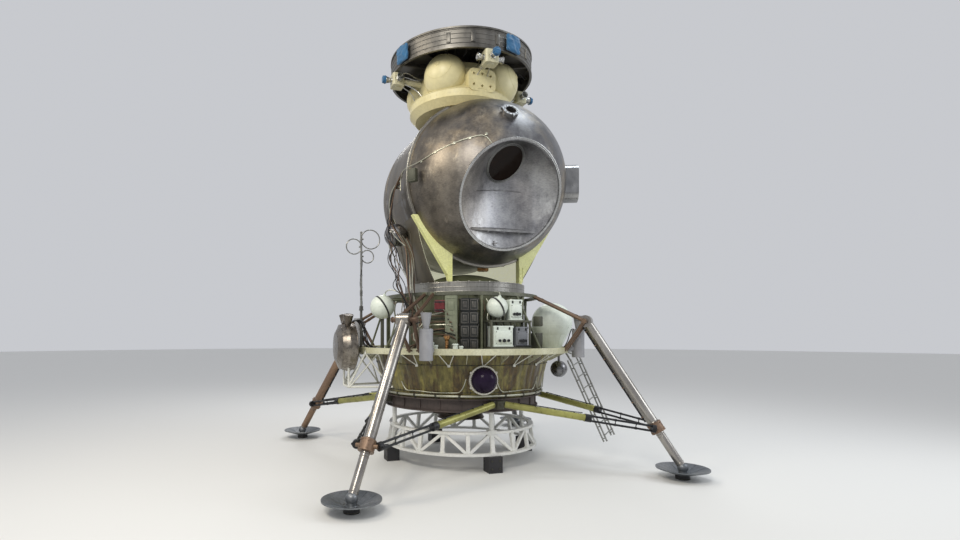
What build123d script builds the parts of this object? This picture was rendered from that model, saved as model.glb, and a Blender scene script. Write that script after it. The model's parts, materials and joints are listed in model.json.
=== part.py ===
from build123d import *
import math
import os

# Lunar lander on its display stand, as an assembly of separate pieces. Millimetres.
# The origin is on the floor, on the lander's vertical axis. +Z is up and -Y is the front, where
# the cabin window is. Azimuths are degrees from the front towards +X.

SEAT = 0.3
SIDES = (0, 90, 180, 270)
CORNERS = (45, 135, 225, 315)

# Display stand
BLOCK_HEIGHT = 187
BLOCK_DEPTH = 160
BLOCK_WIDTH = 170
STAND_FOOT_RADIUS = 955
STAND_TOP_RADIUS = 915
STAND_BAND_WIDTH = 60
STAND_BAND_HEIGHT = 30
STAND_HEIGHT = 277
STAND_BAYS = 20
STAND_POST_WIDTH = 46
STAND_POST_DEPTH = 34
STAND_BRACE_WIDTH = 34
SUPPORT_POST_RADIUS = 28
SUPPORT_FOOT = 110
SUPPORT_FOOT_HEIGHT = 14

# Lower frame, skirt and platform
FRAME_OUTER_RADIUS = 1000
FRAME_INNER_RADIUS = 890
FRAME_BOTTOM = 700
FRAME_HEIGHT = 160
FRAME_WALL = 14
SKIRT_FOOT_RADIUS = 1030
SKIRT_TOP_RADIUS = 1150
SKIRT_WALL = 10
PIPE_RADIUS = 14
PIPE_RISE = 34
PLATFORM_RADIUS = 1380
PLATFORM_TOP = 1410
PLATFORM_THICKNESS = 25
PLATFORM_RIM_HEIGHT = 70
PLATFORM_RIM_WIDTH = 22
RIM_MIDDLE = PLATFORM_RADIUS - PLATFORM_RIM_WIDTH / 2
GUSSETS = 18
GUSSET_HEIGHT = 120
GUSSET_TIP = 25
GUSSET_THICKNESS = 8
GUSSET_HOLE = 18
GUSSET_HOLE_PLACE = (SKIRT_TOP_RADIUS + 55, PLATFORM_TOP - PLATFORM_THICKNESS - 42)

# Rocket stage
STAGE_X = 60
STAGE_RADIUS = 740
STAGE_TOP = 2110
BAND_RADIUS = 780
BAND_HEIGHT = 130
BAND_FLANGE_INNER = 600
BAND_WALL = 16
DOME_HEIGHT = 155
SHIELD_THICKNESS = 20
NOZZLE_EXIT_RADIUS = 300
NOZZLE_THROAT_RADIUS = 110
NOZZLE_LENGTH = 330
NOZZLE_WALL = 14
STEERING_NOZZLE_RADIUS = 105
STEERING_NOZZLE_LENGTH = 200
STEERING_NOZZLE_PLACE = 620

# Equipment bay frame
BAY_RING_RADIUS = 980
BAY_RING_HALF = 20
BAY_RING_Z = 2080
BAY_POST_AZIMUTHS = (-9, 26, 90, 120, 155, 205, 240, 262)
BAY_POST_RADIUS = 16
BAY_STRUT_RADIUS = 13

# Landing legs, one at each corner
HINGE_RADIUS = PLATFORM_RADIUS + 230
HINGE_Z = 1760
PAD_PLACE = 2640
ANKLE_Z = 125
KNEE_SHARE = 0.74
LEG_UPPER_RADIUS = 60
LEG_LOWER_RADIUS = 45
COLLAR_RADIUS = 78
COLLAR_LENGTH = 110
LEG_HEAD_RADIUS = 72
ANKLE_RADIUS = 58
PAD_RADIUS = 276
PAD_RIM_Z = 112
PAD_THICKNESS = 12
PUCK_RADIUS = 75
PUCK_HEIGHT = 45
BRACKET_RIM_SPREAD = 2.5
BRACKET_CROWN_SPREAD = 3
BRACKET_TUBE = 20
BRACKET_AXLE = 27

# Braces between the knees and the frame
FITTING_PLACE = 1120
FITTING_Z = 800
FITTING_WIDTH = 150
FITTING_HEIGHT = 90
BRACE_TUBE_RADIUS = 38
BRACE_SHARE = 0.58
DAMPER_ROD_RADIUS = 12
DAMPER_SPACING = 54
DAMPER_HEAD_RADIUS = 44
DAMPER_HEAD_LENGTH = 70

# Hold-down motors beside the leg heads
MOTOR_PLACE = PLATFORM_RADIUS + 120
MOTOR_TURN = 7.5
MOTOR_RADIUS = 74
MOTOR_BOTTOM = 1320
MOTOR_TOP = 1660
MOTOR_NOZZLE_LENGTH = 175
MOTOR_NOZZLE_RADIUS = 62
MOTOR_THROAT_RADIUS = 30

# Ladder
LADDER_AZIMUTH = 65
LADDER_TOP = (PLATFORM_RADIUS + 100, PLATFORM_TOP - 100)
LADDER_FOOT = (1930, 270)
LADDER_WIDTH = 220
LADDER_RAIL_GAP = 46
LADDER_TUBE = 10
LADDER_RUNG = 8
LADDER_LINK = 7
LINK_STEP = 0.02
LADDER_RUNGS = 7
HOOK_SHARE = 0.03
HOOK_RADIUS = 12

# Landing radar pod
RADAR_RADIUS = 290
RADAR_LENGTH = 180
RADAR_DOME = 60
RADAR_CLEARANCE = 15
RADAR_PLACE = PLATFORM_RADIUS + RADAR_LENGTH / 2 + RADAR_DOME + RADAR_CLEARANCE
RADAR_Z = PLATFORM_TOP + 40
RADAR_TUBE = 14

# Cabin
CABIN_X = 150
CABIN_FRONT_Y = -360
CABIN_REAR_Y = 540
CABIN_Z = 3500
CABIN_RADIUS = 1030
CABIN_WALL = 30
SEAM_Y = -440
FLANGE_RISE = 24
FLANGE_WIDTH = 46
FLANGE_GROOVE = 12
WINDOW_TILT = 22.4
WINDOW_RIM_RADIUS = 640
WINDOW_RIM_WIDTH = 26
WINDOW_RIM_OUT = 16
WINDOW_RIM_DEPTH = 58
RECESS_WALL = 12
WINDOW_RADIUS = 250
WINDOW_RISE = 336
WINDOW_SIDE = -12
WINDOW_DEPTH = 250
WINDOW_FACING = (0.20, -0.685, -0.70)
GLASS_THICKNESS = 12
LEDGE_RISE = -400
LEDGE_WIDTH = 850
LEDGE_THICKNESS = 22
LEDGE_DEPTH = 110
PORT_DIRECTION = (-0.063, -0.836, 0.602)
PORT_RADIUS = 95
PORT_BORE = 62
PORT_RISE = 45
HOUSING_AZIMUTH = 66.9
HOUSING_HEIGHT = 470
HOUSING_WIDTH = 240
HOUSING_RISE = 150
LENS_RADIUS = 62
LENS_SPACING = 230
KNOB_X = 210
KNOB_Y = -250
KNOB_RADIUS = 72
KNOB_BOTTOM = 2428

# Exit hatch on the ladder side
HATCH_Y = 100
HATCH_WIDTH = 600
HATCH_HEIGHT = 800
HATCH_GAP = 6
HATCH_FRAME_WIDTH = 40
HATCH_FRAME_RISE = 16
HATCH_HINGE_SPACING = 360
HINGE_BARREL_RADIUS = 16
HINGE_BARREL_LENGTH = 50
HINGE_PIN_RADIUS = 8
HINGE_EAR = 10
HINGE_OUT = 42

# Cabin support
CONE_TOP_Z = 3050
CONE_FOOT_RADIUS = 700
CONE_WALL = 12
WEB_THICKNESS = 80
WEB_CENTRE_X = 140
WEB_TOP_HALF = 975
WEB_FOOT_HALF = 520
WEB_POST_WIDTH = 60

# Attitude unit and docking plate
ATTITUDE_SINK = 110
ATTITUDE_HEIGHT = 590
ATTITUDE_BASE_Z = CABIN_Z + CABIN_RADIUS - ATTITUDE_SINK
ATTITUDE_TOP_Z = ATTITUDE_BASE_Z + ATTITUDE_HEIGHT
TANK_PLACE = 500
TANK_RADIUS = 270
TANK_Z = ATTITUDE_TOP_Z - 190
PANEL_WIDTH = 360
PANEL_HEIGHT = 270
PANEL_Y = -670
PANEL_Z = ATTITUDE_BASE_Z + 280
PANEL_HOLE = 15
RING_OUTER_RADIUS = 920
RING_WALL = 20
RING_SINK = 60
RING_HEIGHT = 250
RING_BOTTOM_Z = ATTITUDE_TOP_Z - RING_SINK
DOCKING_TOP_Z = RING_BOTTOM_Z + RING_HEIGHT
PLATE_THICKNESS = 60
PLATE_DROP = 6
CELL_PITCH = 150
CELL_WEB = 14
CELL_DEPTH = 42
HUB_RADIUS = 250
RIB_THICKNESS = 12
RIB_HEIGHT = 60
RIBS = 12
THRUSTER_PLACE = 880
THRUSTER_Z = ATTITUDE_TOP_Z - 150
THRUSTER_BLOCK = (150, 170, 150)
THRUSTER_ARM_RADIUS = 34
THRUSTER_NOZZLE_RADIUS = 44
THRUSTER_NOZZLE_LENGTH = 80
COVER_TURN = 18
COVER_SIZE = (44, 180, 190)

# Antenna mast
MAST_X = 30 - PLATFORM_RADIUS
MAST_Y = 20
MAST_PIVOT_Z = 1950
MAST_TOP_Z = 2900
MAST_RADIUS = 13
MAST_PIN_RADIUS = 9
MAST_BARREL_RADIUS = 22
MAST_BARREL_LENGTH = 40

os.makedirs("parts", exist_ok=True)


def save(name, shape):
    """Write one sub-part to its own STEP file."""
    export_step(shape, f"parts/{name}.step")


def polar(azimuth, radius, z):
    """Point at an azimuth counted from the front towards +X."""
    angle = math.radians(azimuth)
    return Vector(radius * math.sin(angle), -radius * math.cos(angle), z)


def facing(azimuth, radius, z):
    """Placement whose X axis points outwards at an azimuth."""
    return Pos(*polar(azimuth, radius, z)) * Rot(0, 0, azimuth - 90)


def rod(start, end, radius):
    """Round bar between two points."""
    start = Vector(*start)
    end = Vector(*end)
    run = end - start
    return Plane(origin=start + run * 0.5, z_dir=run) * Cylinder(radius, run.length)


def taper(start, end, start_radius, end_radius):
    """Round tapered bar between two points."""
    start = Vector(*start)
    end = Vector(*end)
    run = end - start
    middle = Plane(origin=start + run * 0.5, z_dir=run)
    return middle * Cone(start_radius, end_radius, run.length)


def turned(points):
    """Solid turned about the vertical axis from (radius, z) points."""
    outline = Plane.XZ * make_face(Polyline(*points, close=True))
    return revolve(outline, Axis.Z)


def tube_ring(outer, inner, bottom, height):
    """Flat ring standing on a level."""
    lift = Pos(0, 0, bottom + height / 2)
    return lift * (Cylinder(outer, height) - Cylinder(inner, height))


def joined(shapes):
    """Shapes that touch, as one solid."""
    whole = shapes[0]
    for shape in shapes[1:]:
        whole = whole + shape
    return whole


def largest(shape):
    """The one solid that is left of a shape when its offcuts are dropped."""
    return max(shape.solids(), key=lambda solid: solid.volume)


def several(shapes):
    """Shapes that stay apart, as one sub-part."""
    solids = []
    for shape in shapes:
        solids.extend(shape.solids())
    return Compound(solids)


def cabin_form(radius):
    """Capsule of the cabin at a radius, lying along Y."""
    turn = radius * math.sin(math.radians(45))
    outline = [
        ThreePointArc((0, CABIN_FRONT_Y - radius), (turn, CABIN_FRONT_Y - turn), (radius, CABIN_FRONT_Y)),
        Line((radius, CABIN_FRONT_Y), (radius, CABIN_REAR_Y)),
        ThreePointArc((radius, CABIN_REAR_Y), (turn, CABIN_REAR_Y + turn), (0, CABIN_REAR_Y + radius)),
        Line((0, CABIN_REAR_Y + radius), (0, CABIN_FRONT_Y - radius)),
    ]
    return Pos(CABIN_X, 0, CABIN_Z) * revolve(make_face(outline), Axis.Y)


# Display stand

STAND_BOTTOM = BLOCK_HEIGHT
STAND_TOP = BLOCK_HEIGHT + STAND_HEIGHT
FRAME_TOP = FRAME_BOTTOM + FRAME_HEIGHT

blocks = []
for azimuth in SIDES:
    block = Box(BLOCK_DEPTH, BLOCK_WIDTH, BLOCK_HEIGHT)
    blocks.append(facing(azimuth, STAND_FOOT_RADIUS, BLOCK_HEIGHT / 2) * block)


def band(radius, bottom):
    """Flat band of the stand at a radius."""
    half = STAND_BAND_WIDTH / 2
    return tube_ring(radius + half, radius - half, bottom, STAND_BAND_HEIGHT)


def stand_bar(foot_azimuth, top_azimuth, width):
    """Flat bar of the stand from its lower band to its upper band."""
    inset = STAND_BAND_HEIGHT / 2
    foot = polar(foot_azimuth, STAND_FOOT_RADIUS, STAND_BOTTOM + inset)
    top = polar(top_azimuth, STAND_TOP_RADIUS, STAND_TOP - inset)
    run = top - foot
    middle = foot + run * 0.5
    outward = Vector(middle.X, middle.Y, 0)
    across = run.cross(outward)
    place = Plane(origin=middle, x_dir=across, z_dir=run)
    return place * Box(width, STAND_POST_DEPTH, run.length)


stand = [band(STAND_FOOT_RADIUS, STAND_BOTTOM), band(STAND_TOP_RADIUS, STAND_TOP - STAND_BAND_HEIGHT)]
bay_angle = 360 / STAND_BAYS
for bay in range(STAND_BAYS):
    near = bay * bay_angle
    far = near + bay_angle
    stand.append(stand_bar(near, near, STAND_POST_WIDTH))
    lean = (near, far) if bay % 2 else (far, near)
    stand.append(stand_bar(*lean, STAND_BRACE_WIDTH))

for azimuth in SIDES:
    foot_z = STAND_TOP + SUPPORT_FOOT_HEIGHT / 2
    foot_block = Box(STAND_BAND_WIDTH, SUPPORT_FOOT, SUPPORT_FOOT_HEIGHT)
    foot = facing(azimuth, STAND_TOP_RADIUS, foot_z) * foot_block
    start = polar(azimuth, STAND_TOP_RADIUS, STAND_TOP)
    post = rod(start, polar(azimuth, STAND_TOP_RADIUS, FRAME_BOTTOM), SUPPORT_POST_RADIUS)
    stand.append(foot + post)
save("stand_ring", joined(stand))

# Lower frame with its flanges, and the fittings that take the braces

frame_profile = [
    (FRAME_INNER_RADIUS, FRAME_BOTTOM),
    (FRAME_OUTER_RADIUS, FRAME_BOTTOM),
    (FRAME_OUTER_RADIUS, FRAME_BOTTOM + FRAME_WALL),
    (FRAME_OUTER_RADIUS - 2 * FRAME_WALL, FRAME_BOTTOM + FRAME_WALL),
    (FRAME_OUTER_RADIUS - 2 * FRAME_WALL, FRAME_TOP - FRAME_WALL),
    (SKIRT_FOOT_RADIUS + FRAME_WALL, FRAME_TOP - FRAME_WALL),
    (SKIRT_FOOT_RADIUS + FRAME_WALL, FRAME_TOP),
    (FRAME_INNER_RADIUS, FRAME_TOP),
]
lower_frame = turned(frame_profile)
save("lower_frame", lower_frame)

web_radius = FRAME_OUTER_RADIUS - 2 * FRAME_WALL
fittings = []
for azimuth in SIDES:
    depth = FITTING_PLACE - web_radius
    block = facing(azimuth, web_radius + depth / 2, FITTING_Z) * Box(depth, FITTING_WIDTH, FITTING_HEIGHT)
    eye = rod(
        polar(azimuth, FITTING_PLACE, FITTING_Z - FITTING_HEIGHT / 2),
        polar(azimuth, FITTING_PLACE, FITTING_Z + FITTING_HEIGHT / 2),
        FITTING_HEIGHT / 2,
    )
    fittings.append(block + eye - lower_frame)
save("brace_fittings", several(fittings))

# Skirt, with the pipe round its foot

SKIRT_TOP_Z = PLATFORM_TOP - PLATFORM_THICKNESS
skirt_slope = (SKIRT_TOP_RADIUS - SKIRT_FOOT_RADIUS) / (SKIRT_TOP_Z - FRAME_TOP)


def skirt_radius(z):
    """Outer radius of the skirt at a height."""
    return SKIRT_FOOT_RADIUS + skirt_slope * (z - FRAME_TOP)


def skirt_form(growth):
    """Solid cone inside the skirt's outer face, grown by an amount."""
    return turned([
        (0, FRAME_TOP),
        (SKIRT_FOOT_RADIUS + growth, FRAME_TOP),
        (SKIRT_TOP_RADIUS + growth, SKIRT_TOP_Z),
        (0, SKIRT_TOP_Z),
    ])


save("skirt", skirt_form(0) - skirt_form(-SKIRT_WALL))

pipe_z = FRAME_TOP + PIPE_RISE
pipe_path = skirt_radius(pipe_z) + PIPE_RADIUS
save("skirt_pipe", Pos(0, 0, pipe_z) * Torus(pipe_path, PIPE_RADIUS) - skirt_form(0))

# Platform ring

platform_profile = [
    (STAGE_RADIUS + STAGE_X + SKIRT_WALL, SKIRT_TOP_Z),
    (PLATFORM_RADIUS - PLATFORM_RIM_WIDTH, SKIRT_TOP_Z),
    (PLATFORM_RADIUS - PLATFORM_RIM_WIDTH, PLATFORM_TOP - PLATFORM_RIM_HEIGHT / 2),
    (PLATFORM_RADIUS, PLATFORM_TOP - PLATFORM_RIM_HEIGHT / 2),
    (PLATFORM_RADIUS, PLATFORM_TOP + PLATFORM_RIM_HEIGHT / 2),
    (PLATFORM_RADIUS - PLATFORM_RIM_WIDTH, PLATFORM_TOP + PLATFORM_RIM_HEIGHT / 2),
    (PLATFORM_RADIUS - PLATFORM_RIM_WIDTH, PLATFORM_TOP),
    (STAGE_RADIUS + STAGE_X + SKIRT_WALL, PLATFORM_TOP),
]
platform = turned(platform_profile)
save("platform", platform)

# Gusset plates under the platform, seated on the skirt's top edge
gussets = []
for index in range(GUSSETS):
    azimuth = index * 360 / GUSSETS
    gusset_outline = Polyline(
        (SKIRT_TOP_RADIUS + SEAT, SKIRT_TOP_Z),
        (PLATFORM_RADIUS - 2 * PLATFORM_RIM_WIDTH, SKIRT_TOP_Z),
        (PLATFORM_RADIUS - 2 * PLATFORM_RIM_WIDTH, SKIRT_TOP_Z - GUSSET_TIP),
        (SKIRT_TOP_RADIUS + SEAT, SKIRT_TOP_Z - GUSSET_HEIGHT),
        close=True,
    )
    gusset = extrude(Plane.XZ * make_face(gusset_outline), GUSSET_THICKNESS / 2, both=True)
    hole = Plane.XZ * Pos(*GUSSET_HOLE_PLACE) * Cylinder(GUSSET_HOLE, 2 * GUSSET_THICKNESS)
    gussets.append(Rot(0, 0, azimuth - 90) * (gusset - hole))
save("platform_gussets", several(gussets))

# Rocket stage: hidden block, heat shield, nozzles, steel band and dome

stage_axis = Pos(STAGE_X, 0, 0)
stage = stage_axis * Pos(0, 0, (FRAME_TOP + STAGE_TOP) / 2) * Cylinder(STAGE_RADIUS, STAGE_TOP - FRAME_TOP)

SHIELD_BOTTOM = FRAME_TOP - SHIELD_THICKNESS
shield = Pos(0, 0, FRAME_TOP - SHIELD_THICKNESS / 2) * Cylinder(FRAME_INNER_RADIUS, SHIELD_THICKNESS)
save("heat_shield", shield)


def bell(throat, exit_radius, length, wall):
    """Open nozzle bell hanging below the origin."""
    middle = (exit_radius * 0.72 + wall, -length * 0.5)
    outside = [(0, 0), (throat + wall, 0), middle, (exit_radius + wall, -length)]
    inside = [(exit_radius, -length), (exit_radius * 0.72, -length * 0.5), (throat, -wall), (0, -wall)]
    return turned(outside + inside)


nozzle = Pos(0, 0, SHIELD_BOTTOM) * bell(NOZZLE_THROAT_RADIUS, NOZZLE_EXIT_RADIUS, NOZZLE_LENGTH, NOZZLE_WALL)
steering = [nozzle]
for azimuth in CORNERS:
    place = Pos(*polar(azimuth, STEERING_NOZZLE_PLACE, SHIELD_BOTTOM))
    small = bell(STEERING_NOZZLE_RADIUS / 3, STEERING_NOZZLE_RADIUS, STEERING_NOZZLE_LENGTH, NOZZLE_WALL / 2)
    steering.append(place * small)
save("nozzles", several(steering))

BAND_TOP = STAGE_TOP + BAND_HEIGHT
band_profile = [
    (BAND_RADIUS - BAND_WALL, STAGE_TOP),
    (BAND_RADIUS, STAGE_TOP),
    (BAND_RADIUS, BAND_TOP),
    (BAND_FLANGE_INNER, BAND_TOP),
    (BAND_FLANGE_INNER, BAND_TOP - BAND_WALL),
    (BAND_RADIUS - BAND_WALL, BAND_TOP - BAND_WALL),
]
foot_profile = [
    (BAND_FLANGE_INNER, STAGE_TOP),
    (BAND_RADIUS - BAND_WALL, STAGE_TOP),
    (BAND_RADIUS - BAND_WALL, STAGE_TOP + BAND_WALL),
    (BAND_FLANGE_INNER, STAGE_TOP + BAND_WALL),
]
save("stage_band", stage_axis * (turned(band_profile) + turned(foot_profile)))

dome_radius = BAND_FLANGE_INNER - SEAT
dome_curve = (dome_radius**2 + DOME_HEIGHT**2) / (2 * DOME_HEIGHT)
cap = Pos(0, 0, BAND_TOP + DOME_HEIGHT - dome_curve) * Sphere(dome_curve)
cap = cap & Pos(0, 0, BAND_TOP + DOME_HEIGHT / 2) * Cylinder(dome_radius, DOME_HEIGHT)
drum = Pos(0, 0, (STAGE_TOP + BAND_TOP) / 2) * Cylinder(dome_radius, BAND_HEIGHT)
stage_dome = stage_axis * (drum + cap)
save("rocket_stage", several([stage, stage_dome]))

# Equipment bay frame: a ring on posts, tied back to the stage

bay_ring = tube_ring(
    BAY_RING_RADIUS + BAY_RING_HALF,
    BAY_RING_RADIUS - BAY_RING_HALF,
    BAY_RING_Z - BAY_RING_HALF,
    2 * BAY_RING_HALF,
)
save("bay_ring", bay_ring)
bay = []
for azimuth in BAY_POST_AZIMUTHS:
    crown = polar(azimuth, BAY_RING_RADIUS, BAY_RING_Z)
    post = rod(polar(azimuth, BAY_RING_RADIUS, PLATFORM_TOP), crown, BAY_POST_RADIUS)
    tie = rod(polar(azimuth, STAGE_RADIUS - STAGE_X, BAY_RING_Z), crown, BAY_POST_RADIUS)
    bay.append(largest(post - bay_ring))
    bay.append(largest(tie - bay_ring - stage))
# Struts: azimuth on the ring, azimuth and radius of the foot
struts = (
    (19, 30, 1200),
    (-58, -71, 1240),
    (105, 117, 1240),
    (-105, -117, 1240),
    (165, 176, 1240),
    (195, 184, 1240),
)
for azimuth, foot_azimuth, foot_radius in struts:
    foot = polar(foot_azimuth, foot_radius, PLATFORM_TOP - PLATFORM_THICKNESS)
    strut = rod(foot, polar(azimuth, BAY_RING_RADIUS, BAY_RING_Z), BAY_STRUT_RADIUS)
    bay.append(largest(strut - bay_ring - platform))
save("bay_frame", several(bay))

# Landing legs

uppers = []
collars = []
lowers = []
pads = []
pucks = []
brackets = []
brace_tubes = []
dampers = []
for corner in CORNERS:
    hinge = polar(corner, HINGE_RADIUS, HINGE_Z)
    ankle = polar(corner, PAD_PLACE, ANKLE_Z)
    run = (ankle - hinge).normalized()
    knee = hinge + (ankle - hinge) * KNEE_SHARE
    half = run * (COLLAR_LENGTH / 2)
    across = Vector(*polar(corner + 90, 1, 0))
    head = Plane(origin=hinge, z_dir=across) * Cylinder(LEG_HEAD_RADIUS, 2 * LEG_HEAD_RADIUS)
    upper = rod(hinge, knee - half, LEG_UPPER_RADIUS)
    uppers.append(head + upper)
    collar = rod(knee - half, knee + half, COLLAR_RADIUS)
    for side in (-1, 1):
        lug = rod(knee, knee + across * (side * (COLLAR_RADIUS + DAMPER_HEAD_RADIUS)), DAMPER_HEAD_RADIUS / 2)
        collar = collar + lug
    collars.append(collar)
    ball = Pos(*ankle) * Sphere(ANKLE_RADIUS)
    lowers.append(rod(knee + half, ankle, LEG_LOWER_RADIUS) - ball)

    dish_profile = [
        (0, PUCK_HEIGHT),
        (PUCK_RADIUS, PUCK_HEIGHT),
        (PAD_RADIUS, PAD_RIM_Z),
        (PAD_RADIUS, PAD_RIM_Z + PAD_THICKNESS),
        (PUCK_RADIUS, PUCK_HEIGHT + PAD_THICKNESS),
        (0, PUCK_HEIGHT + PAD_THICKNESS),
    ]
    foot = Pos(*polar(corner, PAD_PLACE, 0))
    stem_height = ANKLE_Z - PUCK_HEIGHT
    stem = Pos(0, 0, PUCK_HEIGHT + stem_height / 2) * Cylinder(ANKLE_RADIUS * 0.8, stem_height)
    pads.append(foot * (turned(dish_profile) + stem) + ball)
    pucks.append(foot * Pos(0, 0, PUCK_HEIGHT / 2) * Cylinder(PUCK_RADIUS, PUCK_HEIGHT))

    head_gap = LEG_HEAD_RADIUS + SEAT
    head_clear = Plane(origin=hinge, z_dir=across) * Cylinder(head_gap, 2 * head_gap)
    arms = []
    for side in (-1, 1):
        tip = hinge + across * (side * (LEG_HEAD_RADIUS + 1.5 * BRACKET_TUBE))
        axle = rod(hinge, tip + across * (side * 2 * BRACKET_TUBE), BRACKET_AXLE)
        rim = polar(corner + side * BRACKET_RIM_SPREAD, RIM_MIDDLE, PLATFORM_TOP)
        crown = polar(corner + side * BRACKET_CROWN_SPREAD, BAY_RING_RADIUS, BAY_RING_Z)
        arm = joined([axle, rod(tip, rim, BRACKET_TUBE), rod(tip, crown, BRACKET_TUBE)])
        arms.append(arm - head_clear - platform - bay_ring)
    for arm in arms:
        brackets.append(largest(arm))

    for side in (-1, 1):
        knee_end = knee + across * (side * (COLLAR_RADIUS + DAMPER_HEAD_RADIUS + SEAT))
        fitting_azimuth = corner + side * 45
        inner_side = Vector(*polar(fitting_azimuth + 90, 1, 0)) * (-side * (FITTING_WIDTH / 2 + SEAT))
        fitting_end = polar(fitting_azimuth, FITTING_PLACE - FITTING_HEIGHT / 4, FITTING_Z) + inner_side
        link = fitting_end - knee_end
        joint_point = knee_end + link * (1 - BRACE_SHARE)
        head_length = link.normalized() * DAMPER_HEAD_LENGTH
        tube = rod(joint_point + head_length, fitting_end, BRACE_TUBE_RADIUS)
        brace_tubes.append(tube - fittings[SIDES.index(fitting_azimuth % 360)])
        spread = link.cross(Vector(0, 0, 1)).normalized().cross(link).normalized() * (DAMPER_SPACING / 2)
        damper = [rod(joint_point, joint_point + head_length, DAMPER_HEAD_RADIUS)]
        damper.append(rod(knee_end, knee_end + head_length * 0.6, DAMPER_HEAD_RADIUS))
        for offset in (spread, spread * -1):
            damper.append(rod(knee_end + offset, joint_point + offset, DAMPER_ROD_RADIUS))
        dampers.append(joined(damper) - collar)
save("leg_tubes", several(uppers + lowers))
save("knee_collars", several(collars))
save("foot_pads", several(pads))
save("floor_blocks", several(blocks + pucks))
save("leg_brackets", several(brackets))
save("brace_tubes", several(brace_tubes))
save("brace_dampers", several(dampers))

# Hold-down motors, each strapped to its leg bracket's side of the platform rim

motors = []
for corner in CORNERS:
    azimuth = corner + MOTOR_TURN
    motor_foot = polar(azimuth, MOTOR_PLACE, MOTOR_BOTTOM)
    body = rod(motor_foot, polar(azimuth, MOTOR_PLACE, MOTOR_TOP), MOTOR_RADIUS)
    throat = polar(azimuth, MOTOR_PLACE, MOTOR_TOP)
    mouth = polar(azimuth, MOTOR_PLACE, MOTOR_TOP + MOTOR_NOZZLE_LENGTH)
    flare = taper(throat, mouth, MOTOR_THROAT_RADIUS, MOTOR_NOZZLE_RADIUS)
    strap = rod(
        polar(azimuth, PLATFORM_RADIUS - PLATFORM_RIM_WIDTH, PLATFORM_TOP),
        polar(azimuth, MOTOR_PLACE, PLATFORM_TOP),
        PLATFORM_RIM_WIDTH,
    )
    motors.append(joined([body, flare, strap]) - platform)
save("hold_down_motors", several(motors))

# Ladder with double rails

ladder_top = polar(LADDER_AZIMUTH, *LADDER_TOP)
ladder_foot = polar(LADDER_AZIMUTH, *LADDER_FOOT)
ladder_run = ladder_foot - ladder_top
ladder_across = Vector(*polar(LADDER_AZIMUTH + 90, 1, 0))
ladder_out = ladder_across.cross(ladder_run).normalized() * LADDER_RAIL_GAP
ladder = []
for side in (-0.5, 0.5):
    shift = ladder_across * (side * LADDER_WIDTH)
    ladder.append(rod(ladder_top + shift, ladder_foot + shift, LADDER_TUBE))
    ladder.append(rod(ladder_top + shift + ladder_out, ladder_foot + shift + ladder_out, LADDER_TUBE))
    hook_foot = polar(LADDER_AZIMUTH, RIM_MIDDLE, PLATFORM_TOP - PLATFORM_THICKNESS / 2) + shift
    ladder.append(rod(ladder_top + ladder_run * HOOK_SHARE + shift, hook_foot, HOOK_RADIUS))
for index in range(LADDER_RUNGS):
    share = (index + 0.5) / LADDER_RUNGS
    step = ladder_top + ladder_run * share
    ends = [step + ladder_across * (side * LADDER_WIDTH) for side in (-0.5, 0.5)]
    ladder.append(rod(*ends, LADDER_RUNG))
    for end in ends:
        link = end + ladder_run * LINK_STEP
        ladder.append(rod(link, link + ladder_out, LADDER_LINK))
ladder = joined(ladder)
save("ladder", largest(ladder - platform))

# Landing radar pod and its truss

pod_profile = [
    (0, -RADAR_LENGTH / 2 - RADAR_DOME),
    (RADAR_RADIUS * 0.55, -RADAR_LENGTH / 2 - RADAR_DOME * 0.8),
    (RADAR_RADIUS, -RADAR_LENGTH / 2),
    (RADAR_RADIUS * 1.04, 0),
    (RADAR_RADIUS * 0.94, RADAR_LENGTH / 2),
    (RADAR_RADIUS * 0.6, RADAR_LENGTH / 2 + RADAR_DOME * 0.8),
    (0, RADAR_LENGTH / 2 + RADAR_DOME),
]
pod_axis = facing(-90, RADAR_PLACE, RADAR_Z) * Rot(0, 90, 0)
pod = pod_axis * turned(pod_profile)
horns = []
for side in (-1, 1):
    horn_foot = Vector(-RADAR_PLACE, side * RADAR_RADIUS * 0.3, RADAR_Z + RADAR_RADIUS * 0.8)
    horn_tip = horn_foot + Vector(0, side * RADAR_RADIUS * 0.15, RADAR_RADIUS * 0.55)
    horns.append(taper(horn_foot, horn_tip, RADAR_RADIUS * 0.1, RADAR_RADIUS * 0.22))
pod = joined([pod] + horns)
save("radar_pod", pod)

truss = []
for side in (-1, 1):
    low_inner = Vector(-SKIRT_FOOT_RADIUS * 0.99, side * 280, FRAME_TOP + 100)
    low_outer = Vector(-RADAR_PLACE, side * 150, FRAME_TOP + 100)
    high_inner = Vector(-PLATFORM_RADIUS * 0.975, side * 250, PLATFORM_TOP)
    truss.append(rod(low_inner, low_outer, RADAR_TUBE))
    truss.append(rod(high_inner, low_outer, RADAR_TUBE))
    truss.append(rod(low_outer, Vector(-RADAR_PLACE, side * 150, RADAR_Z), RADAR_TUBE))
truss.append(rod(low_outer, Vector(low_outer.X, -low_outer.Y, low_outer.Z), RADAR_TUBE))
truss = joined(truss) - pod - platform - skirt_form(SEAT)
save("radar_truss", largest(truss))

# Sensor dome in its ring on the front of the skirt

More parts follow.
